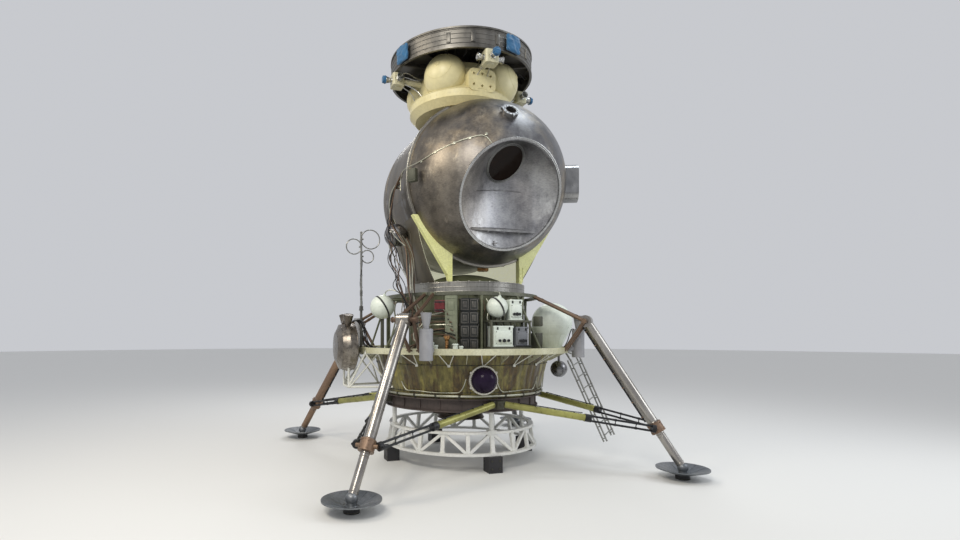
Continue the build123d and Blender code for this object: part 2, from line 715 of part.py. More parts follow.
SENSOR_AZIMUTH = -10
SENSOR_Z = 1085
SENSOR_RADIUS = 165
SENSOR_RING_WIDTH = 16
SENSOR_OUT = 60
sensor_face = skirt_radius(SENSOR_Z) + SENSOR_OUT
sensor_start = polar(SENSOR_AZIMUTH, SKIRT_FOOT_RADIUS - SKIRT_WALL, SENSOR_Z)
sensor_end = polar(SENSOR_AZIMUTH, sensor_face, SENSOR_Z)
sensor_ring = rod(sensor_start, sensor_end, SENSOR_RADIUS) - skirt_form(SEAT)
sensor_bore = rod(sensor_start, sensor_end, SENSOR_RADIUS - SENSOR_RING_WIDTH)
save("sensor_ring", sensor_ring - sensor_bore)
lens_radius = SENSOR_RADIUS - SENSOR_RING_WIDTH - SEAT
ball = Pos(*sensor_end) * Sphere(lens_radius)
plug = rod(sensor_start, sensor_end, lens_radius) - skirt_form(SEAT)
front_half = rod(sensor_end, polar(SENSOR_AZIMUTH, sensor_face + lens_radius, SENSOR_Z), lens_radius)
save("sensor_dome", plug + (ball & front_half))

# Equipment on the platform

RACK_X = 150
RACK_Y = -1020
RACK_WIDTH = 520
RACK_DEPTH = 200
RACK_BASE = 50
SHELF_Z = 1745
SHELF_THICKNESS = 20
RACK_POST = 14
rack = [Pos(RACK_X, RACK_Y, PLATFORM_TOP + RACK_BASE / 2) * Box(RACK_WIDTH, RACK_DEPTH, RACK_BASE)]
rack.append(Pos(RACK_X, RACK_Y, SHELF_Z + SHELF_THICKNESS / 2) * Box(RACK_WIDTH, RACK_DEPTH, SHELF_THICKNESS))
for side in (-1, 1):
    for face in (-1, 1):
        post_x = RACK_X + side * (RACK_WIDTH / 2 - RACK_POST)
        post_y = RACK_Y + face * (RACK_DEPTH / 2 - RACK_POST)
        rack.append(rod((post_x, post_y, PLATFORM_TOP), (post_x, post_y, SHELF_Z), RACK_POST))
rack = joined(rack)

BASE_Z = PLATFORM_TOP + RACK_BASE
DECK_Z = SHELF_Z + SHELF_THICKNESS
# Each box: name, centre x, centre y, foot z, width, depth, height, corner radius
boxes = [
    ("white_boxes", 60, RACK_Y, BASE_Z, 250, 160, 240, 14),
    ("white_boxes", 235, RACK_Y, DECK_Z, 160, 120, 240, 14),
    ("grey_box", 305, RACK_Y, BASE_Z, 150, 150, 230, 10),
]
box_groups = {}
for name, x, y, foot_z, width, depth, height, corner_radius in boxes:
    box = fillet(Box(width, depth, height).edges().filter_by(Axis.Z), corner_radius)
    box_groups.setdefault(name, []).append(Pos(x, y, foot_z + height / 2) * box)
for name, shapes in box_groups.items():
    save(name, several(shapes))

STACK_X = -300
STACK_Y = -930
STACK_WIDTH = 210
STACK_DEPTH = 170
STACK_HEIGHT = 610
STACK_ROWS = 4
STACK_GROOVE = 18
core_block = Box(STACK_WIDTH - 2 * STACK_GROOVE, STACK_DEPTH - 2 * STACK_GROOVE, STACK_HEIGHT)
core = Pos(0, 0, STACK_HEIGHT / 2) * core_block
cells = [core]
row_height = STACK_HEIGHT / STACK_ROWS
for row in range(STACK_ROWS):
    for side in (-1, 1):
        cell = Box(STACK_WIDTH / 2 - STACK_GROOVE / 2, STACK_DEPTH, row_height - STACK_GROOVE)
        cells.append(Pos(side * STACK_WIDTH / 4, 0, (row + 0.5) * row_height) * cell)
save("battery_stack", Pos(STACK_X, STACK_Y, PLATFORM_TOP) * Rot(0, 0, -17) * joined(cells))

panel = fillet(Box(45, 140, 640).edges().filter_by(Axis.X), 12)
panel_place = facing(-29, 1042, PLATFORM_TOP + 320)
save("green_panel", panel_place * panel)
pack = fillet(Box(80, 130, 140).edges(), 18)
save("maroon_pack", panel_place * Pos(-18, -70 - 65 - SEAT, 200) * pack)
valve_place = Pos(*polar(-31, 1170, PLATFORM_TOP))
valve = turned([(0, 0), (45, 0), (45, 25), (22, 40), (22, 120), (38, 140), (38, 175), (0, 175)])
valve = valve_place * valve

# White sphere tanks on posts, each with a strap: x, y, z, radius
sphere_tanks = [
    (20, RACK_Y, DECK_Z + 155, 122),
    (-1120, -150, 1945, 150),
]
white_tanks = []
straps = []
tank_posts = []
STRAP_WIDTH = 22
STRAP_RISE = 5
for x, y, z, radius in sphere_tanks:
    tank = Pos(x, y, z) * Sphere(radius)
    white_tanks.append(tank)
    hoop = Pos(x, y, z) * Rot(0, 60, 20) * Cylinder(radius + STRAP_RISE, STRAP_WIDTH)
    straps.append(hoop - Pos(x, y, z) * Sphere(radius + SEAT))
    foot_z = DECK_Z if z - radius > DECK_Z and y == RACK_Y else PLATFORM_TOP
    tank_posts.append(rod((x, y, foot_z), (x, y, z), 22) - Pos(x, y, z) * Sphere(radius + SEAT))
save("white_tanks", several(white_tanks))
save("tank_straps", several(straps))
save("equipment_rack", several([rack] + tank_posts))

SHIELD_DOME_RADIUS = 260
shield_dome = Pos(0, 0, 350) * Sphere(SHIELD_DOME_RADIUS)
cone_foot = turned([(0, 0), (110, 0), (SHIELD_DOME_RADIUS * 0.97, 285), (0, 285)])
save("shield_dome", Pos(1112, -450, PLATFORM_TOP) * (shield_dome + cone_foot))

low_ball = Vector(PLATFORM_RADIUS - 140, -420, SKIRT_TOP_Z - 238)
low_sphere = Pos(*low_ball) * Sphere(110) + rod(low_ball, (low_ball.X, low_ball.Y, SKIRT_TOP_Z), 16)
side_ball = Vector(-909, -30, 2870)

# Cabin shells, split at the front seam

cabin_outer = cabin_form(CABIN_RADIUS)
cabin_inner = cabin_form(CABIN_RADIUS - CABIN_WALL)
shell = cabin_outer - cabin_inner
reach = 3 * CABIN_RADIUS
front_side = Pos(CABIN_X, SEAM_Y - reach / 2, CABIN_Z) * Box(reach, reach, reach)
rear_side = Pos(CABIN_X, SEAM_Y + reach / 2, CABIN_Z) * Box(reach, reach, reach)

cabin_centre = Vector(CABIN_X, CABIN_FRONT_Y, CABIN_Z)
tilt = math.radians(WINDOW_TILT)
window_out = Vector(0, -math.cos(tilt), -math.sin(tilt))
window_up = Vector(0, -math.sin(tilt), math.cos(tilt))
rim_distance = math.sqrt(CABIN_RADIUS**2 - WINDOW_RIM_RADIUS**2)
rim_centre = cabin_centre + window_out * rim_distance
rim_plane = Plane(origin=rim_centre, x_dir=(1, 0, 0), z_dir=window_out)
window_hole = rim_plane * Cylinder(WINDOW_RIM_RADIUS, CABIN_RADIUS / 2)

port_out = Vector(*PORT_DIRECTION).normalized()


def port_rod(start, end, radius):
    """Round bar along the porthole's axis between two distances."""
    return rod(cabin_centre + port_out * start, cabin_centre + port_out * end, radius)


port_start = CABIN_RADIUS - CABIN_WALL - PORT_RISE
port_end = CABIN_RADIUS + PORT_RISE
port_hole = port_rod(port_start, port_end, PORT_RADIUS + SEAT)
front_shell = (shell & front_side) - window_hole - port_hole
save("cabin_front_shell", front_shell)
save("porthole", port_rod(port_start, port_end, PORT_RADIUS) - port_rod(port_start, port_end, PORT_BORE))
panes = [port_rod(CABIN_RADIUS - CABIN_WALL, CABIN_RADIUS, PORT_BORE - SEAT)]


def hatch_prism(margin, start, end):
    """Oval prism through the cabin's right wall, grown by a margin."""
    height = HATCH_HEIGHT + 2 * margin
    width = HATCH_WIDTH + 2 * margin
    oval = Rot(0, 0, 90) * SlotOverall(height, width)
    place = Plane(origin=(start, HATCH_Y, CABIN_Z), x_dir=(0, 1, 0), z_dir=(1, 0, 0))
    return extrude(place * oval, end - start)


side_start = CABIN_X + CABIN_RADIUS / 2
side_end = CABIN_X + CABIN_RADIUS * 1.2
rear_shell = (shell & rear_side) - hatch_prism(0, side_start, side_end)
save("cabin_rear_shell", rear_shell)

frame_skin = cabin_form(CABIN_RADIUS + HATCH_FRAME_RISE) - cabin_form(CABIN_RADIUS + SEAT)
frame_outline = hatch_prism(HATCH_FRAME_WIDTH, side_start, side_end) - hatch_prism(0, side_start, side_end)
hatch_frame = frame_skin & frame_outline

door = shell & hatch_prism(-HATCH_GAP, side_start, side_end)
hinge_x = CABIN_X + CABIN_RADIUS + HINGE_OUT
hinge_y = HATCH_Y + HATCH_WIDTH / 2 + HATCH_FRAME_WIDTH + HINGE_BARREL_RADIUS + HATCH_GAP
door_edge = HATCH_Y + HATCH_WIDTH / 2 - 2 * HATCH_GAP
ears = []
leaves = []
for side in (-0.5, 0.5):
    leaf_z = CABIN_Z + side * HATCH_HINGE_SPACING
    foot_x = hinge_x - HINGE_OUT - CABIN_WALL
    foot_width = hinge_x - foot_x
    leaf_block = Box(foot_width, 60, HINGE_BARREL_LENGTH)
    leaf_foot = Pos(foot_x + foot_width / 2, door_edge - 50, leaf_z) * leaf_block
    arm_length = hinge_y - door_edge + 80
    arm = Pos(hinge_x, hinge_y - arm_length / 2, leaf_z)
    arm = arm * Box(2 * HINGE_BARREL_RADIUS, arm_length, HINGE_BARREL_LENGTH)
    barrel = Pos(hinge_x, hinge_y, leaf_z) * Cylinder(HINGE_BARREL_RADIUS, HINGE_BARREL_LENGTH)
    bore = Pos(hinge_x, hinge_y, leaf_z) * Cylinder(HINGE_PIN_RADIUS + SEAT, 2 * HINGE_BARREL_LENGTH)
    leaves.append(joined([leaf_foot, arm, barrel]) - bore)
    pin_length = HINGE_BARREL_LENGTH + 2 * HINGE_EAR + 2
    ear_set = [Pos(hinge_x, hinge_y, leaf_z) * Cylinder(HINGE_PIN_RADIUS, pin_length)]
    for end in (-1, 1):
        ear_z = leaf_z + end * (HINGE_BARREL_LENGTH / 2 + 1 + HINGE_EAR / 2)
        ear_foot = CABIN_X + CABIN_RADIUS - 2 * CABIN_WALL
        ear_x = (ear_foot + hinge_x) / 2
        ear = Pos(ear_x, hinge_y, ear_z) * Box(hinge_x - ear_foot, 2 * HINGE_BARREL_RADIUS, HINGE_EAR)
        tip = Pos(hinge_x, hinge_y, ear_z) * Cylinder(HINGE_BARREL_RADIUS, HINGE_EAR)
        ear_set.append(ear + tip)
    ears.append(joined(ear_set) - cabin_form(CABIN_RADIUS + SEAT))
save("hatch_frame", hatch_frame)
save("hatch_hinges", several(ears))

handle_y = HATCH_Y - HATCH_WIDTH / 2 + 90
handle_x = CABIN_X + CABIN_RADIUS + 50
handle_bar = rod((handle_x, handle_y, CABIN_Z - 110), (handle_x, handle_y, CABIN_Z + 110), 11)
handle = [handle_bar]
for side in (-1, 1):
    start = (CABIN_X + CABIN_RADIUS - CABIN_WALL, handle_y, CABIN_Z + side * 100)
    handle.append(rod(start, (handle_x, handle_y, CABIN_Z + side * 100), 9))
save("hatch_door", joined([door] + leaves + handle) - cabin_inner)

# Flange ring round the seam, with a groove between its two lips

flange = Plane(origin=(CABIN_X, SEAM_Y, CABIN_Z), z_dir=(0, 1, 0))
flange_ring = flange * Cylinder(CABIN_RADIUS + FLANGE_RISE, FLANGE_WIDTH)
groove_outer = flange * Cylinder(CABIN_RADIUS + 2 * FLANGE_RISE, FLANGE_GROOVE)
groove_inner = flange * Cylinder(CABIN_RADIUS + FLANGE_RISE / 2, FLANGE_GROOVE)
flange_ring = flange_ring - (groove_outer - groove_inner) - cabin_form(CABIN_RADIUS + SEAT)
save("flange_ring", largest(flange_ring))
flange_room = flange * Cylinder(CABIN_RADIUS + FLANGE_RISE + SEAT, FLANGE_WIDTH + 2 * SEAT)

# Window rim, recess, ledge and glass

rim_height = WINDOW_RIM_OUT + WINDOW_RIM_DEPTH
rim_middle = rim_plane.offset((WINDOW_RIM_OUT - WINDOW_RIM_DEPTH) / 2)
rim_bore = WINDOW_RIM_RADIUS - WINDOW_RIM_WIDTH
rim_ring = rim_middle * Cylinder(WINDOW_RIM_RADIUS - SEAT, rim_height)
save("window_rim", rim_ring - rim_middle * Cylinder(rim_bore, rim_height))

glass_out = Vector(*WINDOW_FACING).normalized()
glass_centre = rim_centre + Vector(WINDOW_SIDE, 0, 0) + window_up * WINDOW_RISE - window_out * WINDOW_DEPTH
glass_plane = Plane(origin=glass_centre, x_dir=Vector(1, 0, 0) - glass_out * glass_out.X, z_dir=glass_out)
recess_radius = rim_bore - SEAT - RECESS_WALL
recess_mouth = rim_plane * Circle(recess_radius + RECESS_WALL)
recess_outer = loft([recess_mouth, glass_plane * Circle(WINDOW_RADIUS + RECESS_WALL)])
recess_inner = loft([rim_plane * Circle(recess_radius), glass_plane * Circle(WINDOW_RADIUS)])
ledge_plane = rim_plane.offset(-LEDGE_DEPTH / 2)
ledge = ledge_plane * Pos(0, LEDGE_RISE, 0) * Box(LEDGE_WIDTH, LEDGE_THICKNESS, LEDGE_DEPTH)
recess = (recess_outer - recess_inner) + (ledge & recess_outer)
save("window_recess", recess)
glass_middle = glass_plane.offset(-SEAT - GLASS_THICKNESS / 2)
panes.append(glass_middle * Cylinder(WINDOW_RADIUS + RECESS_WALL, GLASS_THICKNESS))

# Periscope housing, lenses and bottom knob

seat_form = cabin_form(CABIN_RADIUS + SEAT)
housing_out = polar(HOUSING_AZIMUTH, 1, 0)
housing_plane = Plane(origin=cabin_centre, x_dir=(0, 0, 1), z_dir=housing_out)
housing_length = CABIN_RADIUS + HOUSING_RISE
housing = extrude(housing_plane * SlotOverall(HOUSING_HEIGHT, HOUSING_WIDTH), housing_length) - seat_form
for side in (-0.5, 0.5):
    eye = cabin_centre + Vector(0, 0, side * LENS_SPACING)
    lens_face = eye + housing_out * housing_length
    pocket = rod(lens_face - housing_out * 40, lens_face + housing_out * 40, LENS_RADIUS)
    housing = housing - pocket
    lens = rod(
        eye + housing_out * (housing_length - 40),
        eye + housing_out * (housing_length - 20),
        LENS_RADIUS - SEAT,
    )
    panes.append(lens)
save("periscope_housing", housing)
save("window_panes", several(panes))

knob_height = CABIN_Z - CABIN_RADIUS / 2 - KNOB_BOTTOM
knob = Pos(KNOB_X, KNOB_Y, KNOB_BOTTOM + knob_height / 2) * Cylinder(KNOB_RADIUS, knob_height)
save("brass_fittings", several([valve, knob - seat_form]))

# Support cone, open at the front, and the web that closes its front edge

cone_top_half = math.sqrt(CABIN_RADIUS**2 - (CABIN_Z - CONE_TOP_Z) ** 2) + SEAT
cabin_length = CABIN_REAR_Y - CABIN_FRONT_Y
cabin_middle_y = (CABIN_REAR_Y + CABIN_FRONT_Y) / 2


def cone_form(growth):
    """Solid between the stage band and the cabin, grown by an amount."""
    top_length = cabin_length + 2 * (cone_top_half + growth)
    foot_radius = CONE_FOOT_RADIUS + growth
    top = Plane(origin=(CABIN_X, cabin_middle_y, CONE_TOP_Z)) * Rot(0, 0, 90)
    foot = Plane(origin=(STAGE_X, 0, BAND_TOP)) * Rot(0, 0, 90)
    top_face = top * SlotOverall(top_length, 2 * (cone_top_half + growth))
    foot_face = foot * SlotOverall(2 * foot_radius + 2 * CONE_WALL, 2 * foot_radius)
    return loft([foot_face, top_face])


cone_front_y = SEAM_Y + FLANGE_WIDTH / 2 + SEAT
open_front = Pos(CABIN_X, cone_front_y - reach / 2, CONE_TOP_Z) * Box(reach, reach, reach)
cone = cone_form(CONE_WALL) - cone_form(0) - open_front - seat_form
save("support_cone", largest(cone))
side_sphere = Pos(*side_ball) * Sphere(150) - cone_form(CONE_WALL + SEAT)
save("silver_spheres", several([low_sphere, side_sphere]))

web_back = cone_front_y - SEAT
web_points = [
    (WEB_CENTRE_X - WEB_TOP_HALF, CONE_TOP_Z),
    (WEB_CENTRE_X - WEB_FOOT_HALF, BAND_TOP + WEB_POST_WIDTH * 1.5),
    (WEB_CENTRE_X - WEB_FOOT_HALF + WEB_POST_WIDTH * 0.4, BAND_TOP),
    (WEB_CENTRE_X + WEB_FOOT_HALF - WEB_POST_WIDTH * 0.4, BAND_TOP),
    (WEB_CENTRE_X + WEB_FOOT_HALF, BAND_TOP + WEB_POST_WIDTH * 1.5),
    (WEB_CENTRE_X + WEB_TOP_HALF, CONE_TOP_Z),
]
web_plane = Plane(origin=(0, web_back, 0), x_dir=(1, 0, 0), z_dir=(0, -1, 0))
web = extrude(web_plane * make_face(Polyline(*web_points, close=True)), WEB_THICKNESS)
gap_half = WEB_FOOT_HALF - WEB_POST_WIDTH
arch = Pos(WEB_CENTRE_X, web_back, BAND_TOP) * Box(2 * gap_half, 4 * WEB_THICKNESS, CABIN_RADIUS)
web = web - arch - seat_form - flange_room - stage_dome
webs = []
for half in web.solids():
    if half.bounding_box().min.Z < BAND_TOP + SEAT:
        webs.append(half)
save("support_web", several(webs))

# Attitude unit

attitude_profile = [
    (0, ATTITUDE_BASE_Z),
    (600, ATTITUDE_BASE_Z),
    (670, ATTITUDE_BASE_Z + 80),
    (670, ATTITUDE_BASE_Z + 180),
    (570, ATTITUDE_BASE_Z + 260),
    (545, ATTITUDE_TOP_Z - 110),
    (460, ATTITUDE_TOP_Z),
    (0, ATTITUDE_TOP_Z),
]
panel_depth = -PANEL_Y - 500
panel_box = Pos(0, PANEL_Y + panel_depth / 2, PANEL_Z) * Box(PANEL_WIDTH, panel_depth, PANEL_HEIGHT)
panel_box = fillet(panel_box.edges().filter_by(Axis.Y), 70)
attitude = turned(attitude_profile) - seat_form - flange_room + panel_box
tanks = []
for azimuth in CORNERS:
    place = Pos(*polar(azimuth, TANK_PLACE, TANK_Z))
    tanks.append(place * Sphere(TANK_RADIUS))
    attitude = attitude - place * Sphere(TANK_RADIUS + SEAT)
save("attitude_tanks", several(tanks))
for x, z in ((-110, 70), (0, 75), (110, 60), (-110, -60), (0, -70), (110, -65)):
    hole = rod((x, PANEL_Y - 1, PANEL_Z + z), (x, PANEL_Y + 2 * PANEL_HOLE, PANEL_Z + z), PANEL_HOLE)
    attitude = attitude - hole
attitude = largest(attitude)
save("attitude_body", attitude)

# Docking ring, the ribs that carry the plate, and the honeycomb docking plate

ring_profile = [
    (RING_OUTER_RADIUS - RING_WALL, RING_BOTTOM_Z),
    (RING_OUTER_RADIUS + RING_WALL / 2, RING_BOTTOM_Z),
    (RING_OUTER_RADIUS + RING_WALL / 2, RING_BOTTOM_Z + RING_WALL),
    (RING_OUTER_RADIUS, RING_BOTTOM_Z + RING_WALL),
    (RING_OUTER_RADIUS, DOCKING_TOP_Z - RING_WALL),
    (RING_OUTER_RADIUS + RING_WALL / 2, DOCKING_TOP_Z - RING_WALL),
    (RING_OUTER_RADIUS + RING_WALL / 2, DOCKING_TOP_Z),
    (RING_OUTER_RADIUS - RING_WALL, DOCKING_TOP_Z),
]
docking_ring = turned(ring_profile)

plate_radius = RING_OUTER_RADIUS - RING_WALL - SEAT
PLATE_TOP_Z = DOCKING_TOP_Z - PLATE_DROP
PLATE_BOTTOM_Z = PLATE_TOP_Z - PLATE_THICKNESS
save("docking_ring", docking_ring)
hub = Cylinder(HUB_RADIUS, PLATE_BOTTOM_Z - ATTITUDE_TOP_Z)
hub = Pos(0, 0, (ATTITUDE_TOP_Z + PLATE_BOTTOM_Z) / 2) * hub
ribs = []
for index in range(RIBS):
    azimuth = index * 360 / RIBS
    rib_length = plate_radius - HUB_RADIUS + RIB_THICKNESS
    rib = Box(rib_length, RIB_THICKNESS, RIB_HEIGHT)
    rib_middle = plate_radius - rib_length / 2
    ribs.append(facing(azimuth, rib_middle, PLATE_BOTTOM_Z - RIB_HEIGHT / 2) * rib - hub)
save("docking_ribs", several([hub] + ribs))

cell_radius = (CELL_PITCH - CELL_WEB) / math.sqrt(3)
row_step = CELL_PITCH * math.sqrt(3) / 2
hex_cell = extrude(RegularPolygon(cell_radius, 6, rotation=30), CELL_DEPTH)
cell_limit = plate_radius - cell_radius - CELL_WEB / 2
cell_rows = math.ceil(plate_radius / row_step)
cell_columns = math.ceil(plate_radius / CELL_PITCH)
pockets = []
for row in range(-cell_rows, cell_rows + 1):
    shift = 0 if row % 2 else CELL_PITCH / 2
    for column in range(-cell_columns, cell_columns + 1):
        x = column * CELL_PITCH + shift
        y = row * row_step
        if math.hypot(x, y) <= cell_limit:
            pockets.append(Pos(x, y, PLATE_TOP_Z - CELL_DEPTH) * hex_cell)
plate = Pos(0, 0, PLATE_TOP_Z - PLATE_THICKNESS / 2) * Cylinder(plate_radius, PLATE_THICKNESS)
save("docking_plate", plate.cut(*pockets))
print("docking cells", len(pockets))

# Thruster clusters under the docking ring, one on each side

thruster_blocks = []
thruster_nozzles = []
nozzle_caps = []
block_depth, block_width, block_height = THRUSTER_BLOCK
for azimuth in SIDES:
    outward = polar(azimuth, 1, 0)
    aside = polar(azimuth + 90, 1, 0)
    centre = polar(azimuth, THRUSTER_PLACE, THRUSTER_Z)
    block = facing(azimuth, THRUSTER_PLACE, THRUSTER_Z) * Box(block_depth, block_width, block_height)
    arm = rod(polar(azimuth, 520, THRUSTER_Z), centre, THRUSTER_ARM_RADIUS)
    pod_block = fillet(block.edges().filter_by(Axis.Z), 24) + arm - attitude
    thruster_blocks.append(largest(pod_block))
    for direction, half in ((aside, block_width), (aside * -1, block_width), (outward, block_depth)):
        start = centre + direction * (half / 2 + SEAT)
        end = start + direction * THRUSTER_NOZZLE_LENGTH
        flare = taper(start, end, THRUSTER_NOZZLE_RADIUS * 0.5, THRUSTER_NOZZLE_RADIUS)
        bore = taper(start + direction * 12, end, THRUSTER_NOZZLE_RADIUS * 0.4, THRUSTER_NOZZLE_RADIUS - 5)
        thruster_nozzles.append(flare - bore)
    cap_start = centre + outward * (block_depth / 2 + THRUSTER_NOZZLE_LENGTH + 2 * SEAT)
    nozzle_caps.append(rod(cap_start, cap_start + outward * 40, THRUSTER_NOZZLE_RADIUS + 6))
save("thruster_blocks", several(thruster_blocks))
save("thruster_nozzles", several(thruster_nozzles))

cover_depth, cover_width, cover_height = COVER_SIZE
covers = []
clear_radius = RING_OUTER_RADIUS + RING_WALL / 2 + SEAT
ring_clear = Pos(0, 0, DOCKING_TOP_Z - RING_WALL) * Cylinder(clear_radius, DOCKING_TOP_Z)
for azimuth in SIDES:
    pad = fillet(Box(2 * cover_depth, cover_width, cover_height).edges(), 20)
    cover_z = RING_BOTTOM_Z + cover_height / 2 + RING_WALL
    place = facing(azimuth + COVER_TURN, RING_OUTER_RADIUS + RING_WALL / 2, cover_z)
    covers.append(place * pad - ring_clear)
save("nozzle_covers", several(covers + nozzle_caps))

# Antenna mast: a fixed post on the platform and the mast that folds outwards on its pin

post_top = MAST_PIVOT_Z - MAST_BARREL_RADIUS - 6
mast_post = [rod((MAST_X, MAST_Y, PLATFORM_TOP), (MAST_X, MAST_Y, post_top), MAST_RADIUS + 3)]
yoke_half = MAST_BARREL_LENGTH / 2 + 1
mast_post.append(Pos(MAST_X, MAST_Y, post_top - 8) * Box(44, 2 * yoke_half + 24, 16))
for side in (-1, 1):
    ear_y = MAST_Y + side * (yoke_half + 6)
    ear = Box(36, 12, MAST_PIVOT_Z - post_top + 16)
    mast_post.append(Pos(MAST_X, ear_y, (post_top + MAST_PIVOT_Z) / 2) * ear)
    mast_post.append(rod((MAST_X, ear_y - 6, MAST_PIVOT_Z), (MAST_X, ear_y + 6, MAST_PIVOT_Z), 18))
pin_half = yoke_half + 12
pin_start = (MAST_X, MAST_Y - pin_half, MAST_PIVOT_Z)
pin_end = (MAST_X, MAST_Y + pin_half, MAST_PIVOT_Z)
mast_post.append(rod(pin_start, pin_end, MAST_PIN_RADIUS))
save("mast_post", joined(mast_post) - platform)

barrel_half = MAST_BARREL_LENGTH / 2
barrel_start = (MAST_X, MAST_Y - barrel_half, MAST_PIVOT_Z)
barrel_end = (MAST_X, MAST_Y + barrel_half, MAST_PIVOT_Z)
mast = [rod(barrel_start, barrel_end, MAST_BARREL_RADIUS)]
mast.append(rod((MAST_X, MAST_Y, MAST_PIVOT_Z), (MAST_X, MAST_Y, MAST_TOP_Z), MAST_RADIUS))
mast_body = joined(mast) - rod(barrel_start, barrel_end, MAST_PIN_RADIUS + SEAT)
# Hoop aerials: height above the pivot, hoop radius, side of the mast
hoops = ((760, 95, -1), (860, 120, 1), (640, 80, 1))
hoop_shapes = [mast_body]
HOOP_TUBE = 7
for height, radius, side in hoops:
    centre = Vector(MAST_X + side * radius, MAST_Y, MAST_PIVOT_Z + height)
    hoop_shapes.append(Plane(origin=centre, z_dir=(0, 1, 0)) * Torus(radius, HOOP_TUBE))
save("antenna_mast", joined(hoop_shapes))
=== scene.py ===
import json
import math
import random

import bmesh
import bpy
from bpy.props import FloatProperty, FloatVectorProperty, IntProperty, PointerProperty
from mathutils import Matrix, Vector, noise


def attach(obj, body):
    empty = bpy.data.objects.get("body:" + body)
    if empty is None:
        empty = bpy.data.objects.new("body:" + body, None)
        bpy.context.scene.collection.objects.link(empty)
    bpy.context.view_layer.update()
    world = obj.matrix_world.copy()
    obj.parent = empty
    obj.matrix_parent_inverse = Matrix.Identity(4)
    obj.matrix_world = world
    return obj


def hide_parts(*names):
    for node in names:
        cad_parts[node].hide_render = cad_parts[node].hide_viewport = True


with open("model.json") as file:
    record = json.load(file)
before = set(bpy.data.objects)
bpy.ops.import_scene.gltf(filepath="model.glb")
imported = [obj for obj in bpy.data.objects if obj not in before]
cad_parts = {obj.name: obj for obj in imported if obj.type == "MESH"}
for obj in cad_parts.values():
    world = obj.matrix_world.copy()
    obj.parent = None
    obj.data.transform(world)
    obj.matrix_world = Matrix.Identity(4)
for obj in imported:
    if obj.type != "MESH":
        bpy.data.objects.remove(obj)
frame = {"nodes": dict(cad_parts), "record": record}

bl_info = {
    "name": "Lunar Lander",
    "version": (1, 0, 0),
    "blender": (4, 5, 0),
    "location": "View3D > Sidebar > Lander",
    "description": "Dresses a lunar lander on its display stand with fine parts and finishes",
    "category": "Object",
}

NODES = frame["nodes"]
CORNERS = (45, 135, 225, 315)
SIDES = (0, 90, 180, 270)
UP = Vector((0, 0, 1))
FRONT = Vector((0, -1, 0))
RIGHT = Vector((1, 0, 0))
FOUR = ((-1, -1), (-1, 1), (1, -1), (1, 1))

# Main places of the lander, in metres
CABIN_CENTRE = Vector((0.15, -0.36, 3.5))
CABIN_RADIUS = 1.03
CABIN_REAR_Y = 0.54
SEAM_Y = -0.44
FLANGE_OUTER = 1.054
WINDOW_TILT = math.radians(22.4)
WINDOW_OUT = Vector((0, -math.cos(WINDOW_TILT), -math.sin(WINDOW_TILT)))
WINDOW_UP = Vector((0, -math.sin(WINDOW_TILT), math.cos(WINDOW_TILT)))
RIM_RADIUS = 0.64
RIM_CENTRE = CABIN_CENTRE + WINDOW_OUT * math.sqrt(CABIN_RADIUS**2 - RIM_RADIUS**2)
PORT_OUT = Vector((-0.063, -0.836, 0.602)).normalized()
HATCH_Y = 0.1
STAGE_AXIS = Vector((0.06, 0, 0))
STAGE_RADIUS = 0.74
STAGE_TOP = 2.11
BAND_RADIUS = 0.78
BAND_TOP = 2.24
PLATFORM_RADIUS = 1.38
PLATFORM_TOP = 1.41
SKIRT_FOOT = 0.86
SKIRT_FOOT_RADIUS = 1.03
SKIRT_TOP = 1.385
SKIRT_TOP_RADIUS = 1.15
HINGE_RADIUS = 1.61
HINGE_Z = 1.76
PAD_PLACE = 2.64
ANKLE_Z = 0.125
KNEE_SHARE = 0.74
RING_OUTER = 0.92
THRUSTER_PLACE = 0.88
THRUSTER_Z = 4.86
MAST_X = -1.35
MAST_Y = 0.02
SENSOR_AZIMUTH = -10
SENSOR_Z = 1.085
POST_PLACE = 0.915
FRAME_Z = 0.78
LEG_TUBE = 0.06
SHIN_TUBE = 0.045
KNEE_RADIUS = 0.078
KNEE_HALF = 0.055
BRACE_TUBE = 0.038
DAMPER_GAP = 0.027
MOTOR_PLACE = 1.5
MOTOR_TURN = 7.5
POD_CENTRE = Vector((-1.545, 0, 1.45))
BAY_RING = 0.98
BAY_RING_Z = 2.08
BOX_Y = -1.02
STACK_AZIMUTH = -17
PANEL_PLACE = (-29, 1.042, 1.73)
SHIELD_CENTRE = Vector((1.112, -0.45, 1.76))
REAR_RADIUS = 1.0305
ATTITUDE_RADIUS = 0.67
PANEL_Z = 4.7
HATCH_HALF = 0.3
HATCH_STRAIGHT = 0.1
BESIDE_X = 1.5
RECESS_DEPTH = 0.25


# Placing


def polar(azimuth, radius, z):
    """Point at an azimuth counted from the front towards +X."""
    angle = math.radians(azimuth)
    return Vector((radius * math.sin(angle), -radius * math.cos(angle), z))


def outward(azimuth):
    """Level direction outwards at an azimuth."""
    return polar(azimuth, 1, 0)


def spread(count, start=0):
    """Azimuths evenly spread round the lander."""
    return [start + index * 360 / count for index in range(count)]


def spoke(angle):
    """Direction in the XY plane at an angle from the X axis."""
    return Vector((math.cos(angle), math.sin(angle), 0))


def at(*place):
    """Placement at a point, given as one vector or as three numbers."""
    return Matrix.Translation(place[0] if len(place) == 1 else place)


def framed(point, *axes):
    """Placement at a point with its three axes along the given directions."""
    return at(point) @ Matrix(axes).transposed().to_4x4()


def aimed(point, direction):
    """Placement at a point whose Z axis runs along a direction."""
    turn = Vector(direction).to_track_quat("Z", "Y").to_matrix().to_4x4()
    return at(point) @ turn


def upright_turn(azimuth):
    """Turn about the upright axis that brings X to an azimuth's outward direction."""
    return Matrix.Rotation(math.radians(azimuth - 90), 4, "Z")


